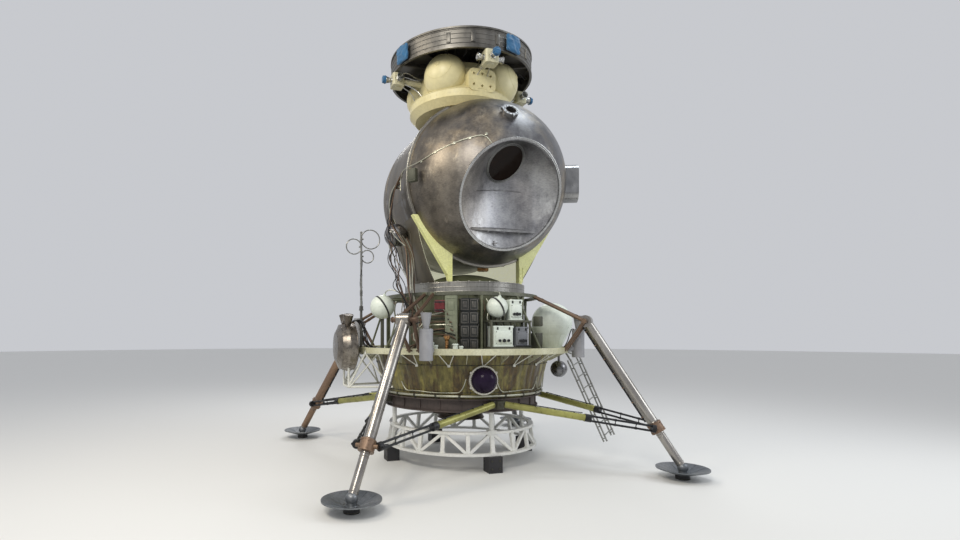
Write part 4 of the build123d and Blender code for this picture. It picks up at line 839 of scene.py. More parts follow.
class LANDER_OT_skirt(bpy.types.Operator):
    """Add the pleated insulation film of the skirt and its sewn belts"""

    bl_idname = "lander.skirt"
    bl_label = "Skirt film"

    def execute(self, context):
        size = sizes()
        noise.seed_set(size.seed)
        tall = SKIRT_TOP - SKIRT_FOOT
        bm = bmesh.new()
        bmesh.ops.create_cone(
            bm,
            cap_ends=False,
            segments=size.pleats * 8,
            radius1=SKIRT_FOOT_RADIUS,
            radius2=SKIRT_TOP_RADIUS,
            depth=tall,
            matrix=at(0, 0, (SKIRT_TOP + SKIRT_FOOT) / 2),
        )
        rise = [edge for edge in bm.edges if abs(edge.verts[0].co.z - edge.verts[1].co.z) > tall / 2]
        bmesh.ops.subdivide_edges(bm, edges=rise, cuts=18, use_grid_fill=True)
        sensor = polar(SENSOR_AZIMUTH, skirt_radius(SENSOR_Z), SENSOR_Z)
        for vert in bm.verts:
            angle = math.atan2(vert.co.y, vert.co.x)
            out = Vector((vert.co.x, vert.co.y, 0)).normalized()
            share = (vert.co.z - SKIRT_FOOT) / tall
            sway = noise.noise(Vector((out.x * 3.1, out.y * 3.1, share * 0.9)))
            lean = noise.noise(Vector((out.x * 9, out.y * 9, 4.2 + share * 0.6)))
            fold = 0.5 - 0.5 * math.cos(size.pleats * angle + 5.5 * sway)
            hold = math.sin(math.pi * share) ** 0.35 if 0 < share < 1 else 0
            near = min(1, max(0, ((vert.co - sensor).length - 0.17) / 0.09))
            deep = size.pleat * (0.45 + 0.9 * abs(lean)) * (fold**1.6)
            puff = 0.004 * noise.noise(vert.co * 23)
            vert.co -= out * (deep * hold * (0.25 + 0.75 * near) + (puff + 0.004) * hold)
        made = piece("skirt_film", bm, "skirt_olive", replaces=("skirt",), angle=60)
        wall = made.modifiers.new("wall", "SOLIDIFY")
        wall.thickness = 0.004
        wall.offset = -1

        bm = bmesh.new()
        for z in (SKIRT_FOOT + 0.075, SKIRT_TOP - 0.135):
            radius = skirt_radius(z)
            hoop(bm, (0, 0, z), UP, radius - 0.001, 0.0035, 160, 8, 0.8)
            for azimuth in spread(36, 3):
                boss(bm, polar(azimuth, radius, z), polar(azimuth, 1, 0.1), 0.009, 0.005, 12)
        piece("skirt_belts", bm, "fitting_dark")
        return {"FINISHED"}


class LANDER_OT_platform(bpy.types.Operator):
    """Add the platform's bolts, the crossed braces below it and the foot pipe's clamps"""

    bl_idname = "lander.platform"
    bl_label = "Platform fittings"

    def execute(self, context):
        size = sizes()
        bm, braces, clamps, pipes = meshes(4)
        heights = (PLATFORM_TOP + 0.012, PLATFORM_TOP - 0.016)
        rim_bolts(bm, spread(72, 2.5), PLATFORM_RADIUS, heights, size.rivet, 0.004)
        for radius in (PLATFORM_RADIUS - 0.045, STAGE_RADIUS + 0.115):
            rim_bolts(bm, spread(48, 2), radius, (PLATFORM_TOP,), size.bolt * 0.8, 0.006, up=True)
        for azimuth in spread(12, 12):
            place = facing(azimuth, PLATFORM_RADIUS - 0.0005, PLATFORM_TOP)
            block(bm, place, (0.006, 0.075, 0.066), 0.002)
        piece("platform_bolts", bm, "platform_cream")

        for azimuth in range(-10, 340, 20):
            if 240 < azimuth < 300 or azimuth in (50, 70):
                continue
            foot = polar(azimuth, skirt_radius(1.25) + 0.006, 1.25)
            for side in (-0.085, 0.085):
                rim = polar(azimuth, PLATFORM_RADIUS - 0.035, PLATFORM_TOP - 0.028)
                top = rim + polar(azimuth + 90, side, 0)
                bar(braces, top, foot + polar(azimuth + 90, side * 0.12, 0), 0.0055, sides=8)
                boss(braces, top, -UP, 0.012, 0.006, 8)
            place = facing(azimuth, skirt_radius(1.25) + 0.004, 1.245)
            block(braces, place, (0.012, 0.034, 0.03), 0.003)
        piece("skirt_braces", braces, "truss_white")

        pipe_z = SKIRT_FOOT + 0.034
        pipe = skirt_radius(pipe_z) + 0.014
        for azimuth in spread(24, 6)[:-1]:
            collar(clamps, polar(azimuth, pipe, pipe_z), outward(azimuth + 90), 0.014, 0.022, 0.003, 16)
            block(clamps, facing(azimuth, pipe - 0.008, pipe_z - 0.024), (0.014, 0.02, 0.03), 0.002)
            boss(clamps, polar(azimuth, pipe + 0.004, pipe_z - 0.03), outward(azimuth), 0.006, 0.006)
        piece("pipe_clamps", clamps, "fitting_dark")

        rng = random.Random(size.seed)
        for start, end in ((-62, -22), (2, 33), (37, 62), (118, 161), (196, 240)):
            steps = max(4, int((end - start) / 6))
            points = []
            for step in range(steps + 1):
                azimuth = start + (end - start) * step / steps
                z = pipe_z + 0.045 + rng.uniform(-0.008, 0.012)
                points.append(polar(azimuth, skirt_radius(z) + 0.012 + rng.uniform(0, 0.006), z))
            points.insert(0, polar(start - 2, skirt_radius(pipe_z + 0.15) + 0.002, pipe_z + 0.15))
            points.append(polar(end + 2, skirt_radius(pipe_z + 0.2) + 0.002, pipe_z + 0.2))
            hose(pipes, points, 0.006, resolution=6)
            for point in points[2:-2:2]:
                half = UP.cross(point).normalized() * 0.007
                bar(pipes, point - half, point + half, 0.009, sides=10)
        piece("skirt_pipes", pipes, "pipe_silver")
        return {"FINISHED"}


class LANDER_OT_frame(bpy.types.Operator):
    """Add the lower frame's rivets and stiffeners and the brace fittings' pins"""

    bl_idname = "lander.frame"
    bl_label = "Lower frame fittings"

    def execute(self, context):
        size = sizes()
        bm, dark = meshes(2)
        for azimuth in spread(72, 1):
            if min(azimuth % 90, -azimuth % 90) >= 9:
                spots = [polar(azimuth, 1, z) for z in (0.735, 0.825)]
                studs(bm, "lower_frame", spots, outward(azimuth), size.rivet, 0.004)
        for azimuth in spread(24, 7.5):
            place, _ = struck("lower_frame", polar(azimuth, 1.2, FRAME_Z), polar(azimuth, -1, 0))
            radius = Vector((place.x, place.y, 0)).length
            block(bm, facing(azimuth, radius + 0.006, FRAME_Z), (0.014, 0.01, 0.1), 0.002)
        piece("frame_rivets", bm, "frame_brown")
        for azimuth in SIDES:
            spots = face_grid(azimuth, 1.1, (-0.045, 0.045), (0.775, 0.825))
            studs(dark, "brace_fittings", spots, outward(azimuth), size.bolt, 0.009)
            centre = polar(azimuth, 1.1, 0.8)
            studs(dark, "brace_fittings", [centre], outward(azimuth), 0.022, 0.012, 24)
        piece("fitting_bolts", dark, "fitting_dark")
        return {"FINISHED"}


class LANDER_OT_legs(bpy.types.Operator):
    """Add the bands, wires, bolts and weld beads of the landing legs and their pads"""

    bl_idname = "lander.legs"
    bl_label = "Leg fittings"

    def execute(self, context):
        size = sizes()
        rng = random.Random(size.seed + 1)
        bands, wires, dark, sleeve, pads = meshes(5)
        for corner in CORNERS:
            hinge, ankle, run, knee, across = leg_line(corner)
            inner = across.cross(run).normalized()
            if inner.dot(outward(corner)) > 0:
                inner = -inner
            upper = (knee - hinge).length - KNEE_HALF
            for share in (0.13, 0.34, 0.55, 0.76, 0.94):
                collar(bands, hinge + run * upper * share, run, LEG_TUBE, 0.016, 0.0022)
            hoop(bands, hinge + run * (upper - 0.012), run, LEG_TUBE, 0.006, 40)
            lower = (ankle - knee).length - KNEE_HALF
            for share in (0.06, 0.12, 0.86):
                hoop(bands, knee + run * (KNEE_HALF + lower * share), run, SHIN_TUBE, 0.004, 40)
            for side in (-1, 1):
                face = hinge + across * (side * 0.072)
                bar(bands, face - across * side * 0.002, face + across * side * 0.003, 0.055, sides=32)
            for lane in (0, 1):
                points = [hinge + inner * 0.09 + UP * 0.03 + across * 0.02 * (lane - 0.5)]
                for step in range(9):
                    share = 0.03 + step * 0.117
                    sway = across * (0.018 * (lane - 0.5) + rng.uniform(-0.003, 0.003))
                    points.append(hinge + run * upper * share + inner * 0.067 + sway)
                hose(wires, points, 0.0055 if lane else 0.0075, resolution=4)
            for step in range(7):
                point = hinge + run * upper * (0.08 + step * 0.14) + inner * 0.066
                block(dark, aimed(point, run), (0.04, 0.022, 0.012), 0.002)
            for angle in range(30, 390, 60):
                out = Matrix.Rotation(math.radians(angle), 3, run) @ inner
                for end in (-0.036, 0.036):
                    boss(dark, knee + run * end + out * KNEE_RADIUS, out, size.bolt, 0.008)
            for end in (-0.05, 0.05):
                collar(dark, knee + run * end, run, KNEE_RADIUS, 0.012, 0.003, 40)

            foot = polar(corner, PAD_PLACE, 0)
            rows = ((0.1175, 0.2715, 0.0045, 72), (0.064, 0.105, 0.003, 48), (0.062, 0.053, 0.007, 32))
            hoops(pads, foot, UP, rows)
            for angle in spread(12, 15):
                out = spoke(math.radians(angle))
                start = foot + out * 0.085 + UP * 0.0605
                bar(pads, start, foot + out * 0.262 + UP * 0.119, 0.0045, 0.003, 8)
                boss(pads, foot + out * 0.245 + UP * 0.1135, UP, size.rivet, 0.004, 8)
            for angle in spread(8):
                out = spoke(math.radians(angle))
                boss(pads, foot + out * 0.069 + UP * 0.057, UP, 0.007, 0.007)
        piece("leg_bands", bands, "leg_silver")

        # The ribbed sleeve of one leg
        hinge, ankle, run, knee, _ = leg_line(225)
        bar(sleeve, hinge + run * 0.075, knee - run * 0.056, LEG_TUBE + 0.0025, sides=48)
        bar(sleeve, knee + run * 0.056, ankle - run * 0.06, SHIN_TUBE + 0.0025, sides=48)
        for step in range(9):
            hoop(sleeve, hinge + run * (0.1 + step * 0.105), run, LEG_TUBE + 0.0025, 0.003, 48)
        piece("leg_sleeve", sleeve, "collar_brown")
        piece("leg_wires", wires, "damper_black")
        piece("collar_bolts", dark, "collar_brown")
        piece("pad_ribs", pads, "pad_grey")
        return {"FINISHED"}


class LANDER_OT_braces(bpy.types.Operator):
    """Add the clamps, wires and eye bolts of the leg braces"""

    bl_idname = "lander.braces"
    bl_label = "Brace fittings"

    def brace(self, green, dark, near, far):
        """Fittings of one brace: its tube from the far end to the joint, and its rods from there."""
        link = (far - near).normalized()
        joint = near + link * (far - near).length * 0.42
        for share in (0.12, 0.5, 0.88):
            collar(green, joint.lerp(far, share), link, BRACE_TUBE, 0.02, 0.0025, 28)
        hoop(green, joint + link * 0.078, link, BRACE_TUBE, 0.005, 28)
        lift = link.cross(UP).normalized().cross(link).normalized()
        for share in (0.2, 0.42, 0.65, 0.82):
            point = joint.lerp(far, share) + lift * 0.04
            block(dark, aimed(point, link), (0.03, 0.018, 0.01), 0.002)
        wire = [joint + link * 0.1 + lift * 0.05]
        for share in (0.2, 0.31, 0.42, 0.53, 0.65, 0.75, 0.82):
            wire.append(joint.lerp(far, share) + lift * 0.045)
        hose(dark, wire, 0.005, resolution=4)
        for share in (0.3, 0.62):
            centre = near.lerp(joint, share)
            for offset in (-DAMPER_GAP, DAMPER_GAP):
                collar(dark, centre + lift * offset, link, 0.012, 0.018, 0.003, 16)
            bar(dark, centre - lift * DAMPER_GAP, centre + lift * DAMPER_GAP, 0.005, sides=8)
        cross = link.cross(lift).normalized()
        for face in (-1, 1):
            boss(dark, joint + link * 0.035 + cross * face * 0.044, cross * face, 0.014, 0.01, 8)
            boss(dark, near + link * 0.02 + cross * face * 0.044, cross * face, 0.012, 0.01, 8)

    def execute(self, context):
        green, dark = meshes(2)
        for corner in CORNERS:
            _, _, _, knee, across = leg_line(corner)
            for side in (-1, 1):
                azimuth = corner + side * 45
                far = polar(azimuth, 1.0975, 0.8) - outward(azimuth + 90) * (side * 0.0753)
                self.brace(green, dark, knee + across * (side * 0.1223), far)
        piece("brace_bands", green, "brace_green")
        piece("damper_fittings", dark, "damper_black")
        return {"FINISHED"}


class LANDER_OT_motors(bpy.types.Operator):
    """Add the hoops, straps and igniter leads of the hold-down motors"""

    bl_idname = "lander.motors"
    bl_label = "Motor fittings"

    def execute(self, context):
        bm, leads = meshes(2)
        bands = ((1.385, 0.0735, 0.0025, 40), (1.43, 0.0735, 0.0025, 40), (1.6, 0.0735, 0.0025, 40))
        necks = ((1.829, 0.0595, 0.004, 40), (1.668, 0.032, 0.006, 32))
        for corner in CORNERS:
            azimuth = corner + MOTOR_TURN
            axis = polar(azimuth, MOTOR_PLACE, 0)
            for z in (1.338, 1.642):
                collar(bm, axis + UP * z, UP, 0.074, 0.018, 0.002, 40)
            hoops(bm, axis, UP, bands + necks)
            ringed(bm, axis + UP * 1.66, UP, 0.056, 8, UP, 0.006, 0.006)
            for side in (-1, 1):
                aside = polar(azimuth + 90, side, 0)
                strap = facing(azimuth, 1.418, 1.43) @ at(0, side * 0.05, 0)
                block(bm, strap, (0.06, 0.01, 0.05), 0.003)
                boss(bm, polar(azimuth, 1.405, 1.43) + aside * 0.055, aside, sizes().bolt * 0.8, 0.007)
            start = axis + UP * 1.665 - polar(azimuth, 0.045, 0)
            lead = [
                start,
                start - polar(azimuth, 0.03, 0) + UP * 0.02,
                polar(azimuth, 1.395, 1.6),
                polar(azimuth + 0.4, 1.375, 1.52),
                polar(azimuth - 0.3, 1.33, 1.44),
                polar(azimuth, 1.3, PLATFORM_TOP + 0.006),
                polar(azimuth - 2, 1.24, PLATFORM_TOP + 0.008),
            ]
            hose(leads, lead, 0.006)
            boss(leads, polar(azimuth - 2, 1.235, PLATFORM_TOP + 0.004), UP, 0.016, 0.02, 12)
        piece("motor_bands", bm, "motor_grey")
        piece("motor_leads", leads, "damper_black")
        return {"FINISHED"}


class LANDER_OT_ladder(bpy.types.Operator):
    """Replace the ladder with one turned to the front as in the photograph, with collars at its rungs"""

    bl_idname = "lander.ladder"
    bl_label = "Ladder"

    def execute(self, context):
        bm = bmesh.new()
        top = polar(65, 1.48, 1.31)
        foot = polar(65, 1.93, 0.27)
        run = foot - top
        way = run.normalized()
        across = outward(112)
        across = (across - way * across.dot(way)).normalized()
        out = across.cross(run).normalized() * 0.046
        rungs = [top + run * ((index + 0.5) / 7) for index in range(7)]
        for side in (-0.11, 0.11):
            shift = across * side
            inward = across * (-1 if side > 0 else 1)
            for rung in rungs:
                point = rung + shift
                collar(bm, point, run, 0.01, 0.026, 0.002, 16)
                collar(bm, point + inward * 0.014, inward, 0.008, 0.012, 0.002, 12)
                link = point + run * 0.035
                bar(bm, link, link + out, 0.007, sides=10)
            for rail in (shift, shift + out):
                bar(bm, top + rail, foot + rail, 0.01, sides=16)
                hoop(bm, foot + rail - way * 0.006, run, 0.0095, 0.003, 16)
            seat = top + shift * 0.6
            reach = Vector((seat.x, seat.y, 0)).normalized() * 1.345
            end = Vector((reach.x, reach.y, PLATFORM_TOP - 0.0125))
            bar(bm, top + run * 0.03 + shift, end, 0.012, sides=16)
        for rung in rungs:
            bar(bm, rung - across * 0.11, rung + across * 0.11, 0.008)
        piece("ladder_turned", bm, "ladder_silver", replaces=("ladder",))
        return {"FINISHED"}


class LANDER_OT_radar(bpy.types.Operator):
    """Add the radar pod's seams, screws, horns and cables and the sensor ring's bolts"""

    bl_idname = "lander.radar"
    bl_label = "Radar and sensor"

    def execute(self, context):
        size = sizes()
        left = Vector((-1, 0, 0))
        bm, ties, ring, cables = meshes(4)
        hoops(bm, POD_CENTRE, left, ((0, 0.3005, 0.004, 96), (0.088, 0.273, 0.0035, 96)))
        hoop(bm, POD_CENTRE - left * 0.088, left, 0.289, 0.0035, 96)
        for turn in range(36):
            angle = turn * math.tau / 36
            out = Vector((0, math.cos(angle), math.sin(angle)))
            for lane in (-0.045, 0.045):
                place, normal = struck("radar_pod", POD_CENTRE + left * lane + out * 0.5, -out)
                boss(bm, place, normal, size.rivet, 0.0035)
        for turn in range(12):
            angle = turn * math.tau / 12
            out = Vector((0, math.cos(angle), math.sin(angle)))
            for side in (-1, 1):
                spot = POD_CENTRE + left * side * 0.4 + out * 0.2
                place, normal = struck("radar_pod", spot, -left * side)
                boss(bm, place, normal, size.rivet * 1.2, 0.004)
        for side in (-1, 1):
            foot = POD_CENTRE + Vector((0, side * 0.087, 0.232))
            tip = foot + Vector((0, side * 0.0435, 0.1595))
            hoop(bm, tip, tip - foot, 0.0615, 0.005, 32)
            hoop(bm, foot.lerp(tip, 0.5), tip - foot, 0.048, 0.003, 32)
            block(bm, at(foot + UP * 0.036), (0.07, 0.05, 0.02), 0.004)

            high = (Vector((-1.2, side * 0.25, 1.372)), Vector((-1.36, side * 0.25, 1.372)))
            low = (Vector((-1.06, side * 0.28, 0.965)), Vector((-1.53, side * 0.16, 0.965)))
            bar(ties, high[0], low[1], 0.011)
            bar(ties, high[1], low[0], 0.0105)
            bar(ties, high[0], high[1], 0.0115)
            bar(ties, low[0], high[0], 0.0095)
            for spot in (*high, *low):
                ball(ties, spot, 0.016)

            points = [
                POD_CENTRE + Vector((0.06, side * 0.05, 0.3)),
                POD_CENTRE + Vector((0.12, side * 0.05, 0.35)),
                POD_CENTRE + Vector((0.2, side * 0.07, 0.28)),
                POD_CENTRE + Vector((0.22, side * 0.09, 0.12)),
                POD_CENTRE + Vector((0.25, side * 0.11, 0.02)),
                Vector((-1.2, side * 0.16, PLATFORM_TOP + 0.01)),
                Vector((-1.08, side * 0.2, PLATFORM_TOP + 0.01)),
            ]
            beside = [point + Vector((0.012, side * 0.02, 0.004)) for point in points]
            hose(cables, points, 0.008, resolution=6)
            hose(cables, beside, 0.006, resolution=6)
        block(bm, at(POD_CENTRE + UP * 0.305), (0.11, 0.07, 0.03), 0.006)
        piece("radar_seams", bm, "pod_bronze")
        piece("radar_cross_ties", ties, "truss_white")

        face = polar(SENSOR_AZIMUTH, skirt_radius(SENSOR_Z) + 0.06, SENSOR_Z)
        out = outward(SENSOR_AZIMUTH)
        ringed(ring, face, out, 0.157, 24, out, 0.0045, 0.004)
        hoops(ring, face, out, ((0, 0.1505, 0.003, 80), (-0.012, 0.166, 0.003, 80)))
        for angle in (30, 150, 210, 330):
            side = aimed(face, out).to_3x3() @ spoke(math.radians(angle))
            block(ring, aimed(face + side * 0.17 - out * 0.03, out), (0.024, 0.024, 0.05), 0.003)
        piece("sensor_bolts", ring, "ring_silver")
        piece("radar_cables", cables, "damper_black")
        return {"FINISHED"}


class LANDER_OT_rocket(bpy.types.Operator):
    """Add the rocket stage's stringers and hoops and the steel band's bolts"""

    bl_idname = "lander.rocket"
    bl_label = "Rocket stage fittings"

    def execute(self, context):
        size = sizes()
        bm, band, nozzle = meshes(3)
        for azimuth in spread(30, 3):
            spot = STAGE_AXIS + polar(azimuth, STAGE_RADIUS + 0.001, 1.765)
            block(bm, at(spot) @ upright_turn(azimuth), (0.012, 0.014, 0.64), 0.003)
        rows = [(z, STAGE_RADIUS, 0.007, 120) for z in (1.445, 1.62, 1.9, 2.085)]
        hoops(bm, STAGE_AXIS, UP, rows)
        piece("stage_stringers", bm, "stage_olive")

        rows = (
            (STAGE_TOP + 0.012, BAND_RADIUS - 0.001, 0.005, 160),
            (BAND_TOP - 0.012, BAND_RADIUS - 0.001, 0.005, 160),
            (BAND_TOP - 0.065, BAND_RADIUS - 0.003, 0.006, 160),
        )
        hoops(band, STAGE_AXIS, UP, rows)
        for azimuth in spread(60, 3):
            out = outward(azimuth)
            for z in (STAGE_TOP + 0.034, BAND_TOP - 0.034):
                boss(band, STAGE_AXIS + out * BAND_RADIUS + UP * z, out, size.rivet, 0.004)
        for azimuth in spread(36):
            boss(band, STAGE_AXIS + outward(azimuth) * 0.755 + UP * BAND_TOP, UP, size.bolt, 0.009)
        piece("band_bolts", band, "band_steel")

        rows = ((0.57, 0.293, 0.006, 80), (0.66, 0.256, 0.006, 80), (0.76, 0.196, 0.006, 80))
        hoops(nozzle, Vector(), UP, (*rows, (0.513, 0.307, 0.007, 80)))
        for corner in CORNERS:
            rows = ((0.648, 0.106, 0.005, 48), (0.74, 0.082, 0.004, 48))
            hoops(nozzle, polar(corner, 0.62, 0), UP, rows)
        piece("nozzle_hoops", nozzle, "nozzle_steel")
        return {"FINISHED"}


class LANDER_OT_bay(bpy.types.Operator):
    """Add the bay ring's brackets and the leg brackets' gussets and nuts"""

    bl_idname = "lander.bay"
    bl_label = "Bay frame fittings"

    def execute(self, context):
        size = sizes()
        bm, nuts = meshes(2)
        for azimuth in (-9, 26, 90, 120, 155, 205, 240, 262):
            collar(bm, polar(azimuth, BAY_RING, 2.06) - UP * 0.03, UP, 0.016, 0.05, 0.004, 20)
            foot = polar(azimuth, BAY_RING, PLATFORM_TOP)
            bar(bm, foot, foot + UP * 0.012, 0.036, sides=24)
            collar(bm, foot + UP * 0.03, UP, 0.016, 0.036, 0.004, 20)
            ringed(bm, foot + UP * 0.012, UP, 0.028, 4, UP, 0.005, 0.006)
        rim_bolts(bm, spread(48), 1.0, (BAY_RING_Z,), size.rivet, 0.004)
        rim_bolts(bm, spread(48), BAY_RING, (2.1,), size.rivet, 0.004, up=True)
        for corner in CORNERS:
            hinge, _, _, _, across = leg_line(corner)
            for side in (-1, 1):
                block(bm, facing(corner + side * 3, 1.0, BAY_RING_Z), (0.014, 0.07, 0.034), 0.003)
                tip = hinge + across * (side * 0.102)
                foot = (corner + side * 2.5, 1.369)
                crown = polar(corner + side * 3, BAY_RING, BAY_RING_Z)
                for end in (polar(*foot, PLATFORM_TOP), crown):
                    way = (end - tip).normalized()
                    for share in (0.2, 0.85):
                        collar(nuts, tip.lerp(end, share), way, 0.02, 0.03, 0.003, 24)
                bar(nuts, tip + across * side * 0.036, tip + across * side * 0.054, 0.033, sides=6)
                block(nuts, facing(*foot, PLATFORM_TOP + 0.012), (0.03, 0.075, 0.02), 0.004)
                for beside in (-0.028, 0.028):
                    spot = polar(*foot, PLATFORM_TOP + 0.022) + polar(corner + 90, beside, 0)
                    boss(nuts, spot, UP, 0.006, 0.008)
        piece("bay_brackets", bm, "bay_grey")
        piece("bracket_nuts", nuts, "bracket_brown")
        return {"FINISHED"}


class LANDER_OT_boxes(bpy.types.Operator):
    """Add lids, latches, sockets and screws to the equipment boxes, the battery stack and the panel"""

    bl_idname = "lander.boxes"
    bl_label = "Equipment boxes"

    def execute(self, context):
        # Centre x, foot z, width, depth, height, slot
        boxes = (
            (0.06, 1.46, 0.25, 0.16, 0.24, "box_white"),
            (0.235, 1.765, 0.16, 0.12, 0.24, "box_white"),
            (0.305, 1.46, 0.15, 0.15, 0.23, "box_grey"),
        )
        white, grey, dark, frames, green = meshes(5)
        for x, foot, width, depth, height, slot in boxes:
            bm = white if slot == "box_white" else grey
            centre = Vector((x, BOX_Y - depth / 2, foot + height / 2))
            lid = (width + 0.006, depth + 0.006, 0.028)
            block(bm, at(x, BOX_Y, foot + height - 0.012), lid, 0.005)
            block(bm, at(x, BOX_Y, foot + 0.008), (width + 0.008, depth + 0.008, 0.012), 0.003)
            front_plate = (width * 0.8, 0.008, height * 0.62)
            block(bm, at(centre + FRONT * 0.003 - UP * 0.012), front_plate, 0.004)
            for side, end in FOUR:
                spot = Vector((side * width * 0.37, -0.007, end * height * 0.27 - 0.012))
                boss(dark, centre + spot, FRONT, 0.005, 0.003, 8)
            for side in (-1, 1):
                latch = centre + Vector((side * width * 0.3, -0.003, height / 2 - 0.028))
                block(dark, at(latch), (0.018, 0.008, 0.03), 0.002)
            for lane in (-1, 0, 1):
                radius = 0.014 if lane else 0.018
                spot = centre + Vector((lane * width * 0.22, -0.007, -height * 0.2))
                bar(dark, spot, spot + FRONT * 0.02, radius, sides=20)
                hoop(dark, spot + FRONT * 0.018, FRONT, radius, 0.003, 20)
        piece("box_lids", white, "box_white")
        piece("grey_box_lid", grey, "box_grey")

        out = outward(STACK_AZIMUTH)
        aside = outward(STACK_AZIMUTH + 90)
        middle = Vector((-0.3, -0.93, PLATFORM_TOP))
        turn = Matrix.Rotation(math.radians(STACK_AZIMUTH), 4, "Z")
        for row in range(4):
            for side in (-1, 1):
                cell = middle + aside * side * 0.0525 + out * 0.085 + UP * (row + 0.5) * 0.1525
                place = at(cell) @ turn
                for edge in (-1, 1):
                    block(frames, place @ at(0, -0.002, edge * 0.056), (0.09, 0.008, 0.01), 0.002)
                    block(frames, place @ at(edge * 0.04, -0.002, 0), (0.01, 0.008, 0.11), 0.002)
                block(frames, place @ at(0, -0.001, 0), (0.05, 0.006, 0.07), 0.003)
                for lift in (-0.022, 0.022):
                    socket = cell + out * 0.003 + UP * lift
                    bar(frames, socket, cell + out * 0.018 + UP * lift, 0.011, sides=16)
                for edge, end in FOUR:
                    spot = cell + aside * edge * 0.04 + UP * end * 0.056 + out * 0.005
                    boss(frames, spot, out, 0.0035, 0.003, 8)
        for lift in (0.012, 0.3, 0.598):
            for side in (-1, 1):
                place = at(middle + aside * side * 0.1065 + UP * lift) @ turn
                block(frames, place, (0.007, 0.16, 0.02), 0.002)
        piece("stack_frames", frames, "rib_grey")

        place = facing(*PANEL_PLACE)
        for lift in (-0.29, -0.1, 0.1, 0.29):
            block(green, place @ at(0.023, 0, lift), (0.008, 0.12, 0.012), 0.002)
        for edge in (-0.056, 0.056):
            block(green, place @ at(0.023, edge, 0), (0.008, 0.012, 0.59), 0.002)
            for step in range(9):
                spot = place @ Vector((0.0265, edge, -0.28 + step * 0.07))
                boss(green, spot, outward(PANEL_PLACE[0]), 0.004, 0.003, 8)
        block(green, place @ at(0.024, 0, 0.2), (0.01, 0.07, 0.1), 0.004)
        piece("panel_frame", green, "panel_green")

        for lift, width in ((0.02, 0.26), (0.06, 0.2)):
            block(dark, at(0.31, -1.122, PLATFORM_TOP + lift), (width, 0.012, 0.016), 0.003)
        for index in range(9):
            boss(dark, (-0.09 + index * 0.06, -1.12, PLATFORM_TOP + 0.025), FRONT, 0.0055, 0.005)
        for x in (-0.11, 0.41):
            foot = Vector((x, BOX_Y, PLATFORM_TOP + 0.05))
            bar(dark, foot, (x, BOX_Y, PLATFORM_TOP + 0.335), 0.006, sides=10)
        piece("box_sockets", dark, "damper_black")
        return {"FINISHED"}


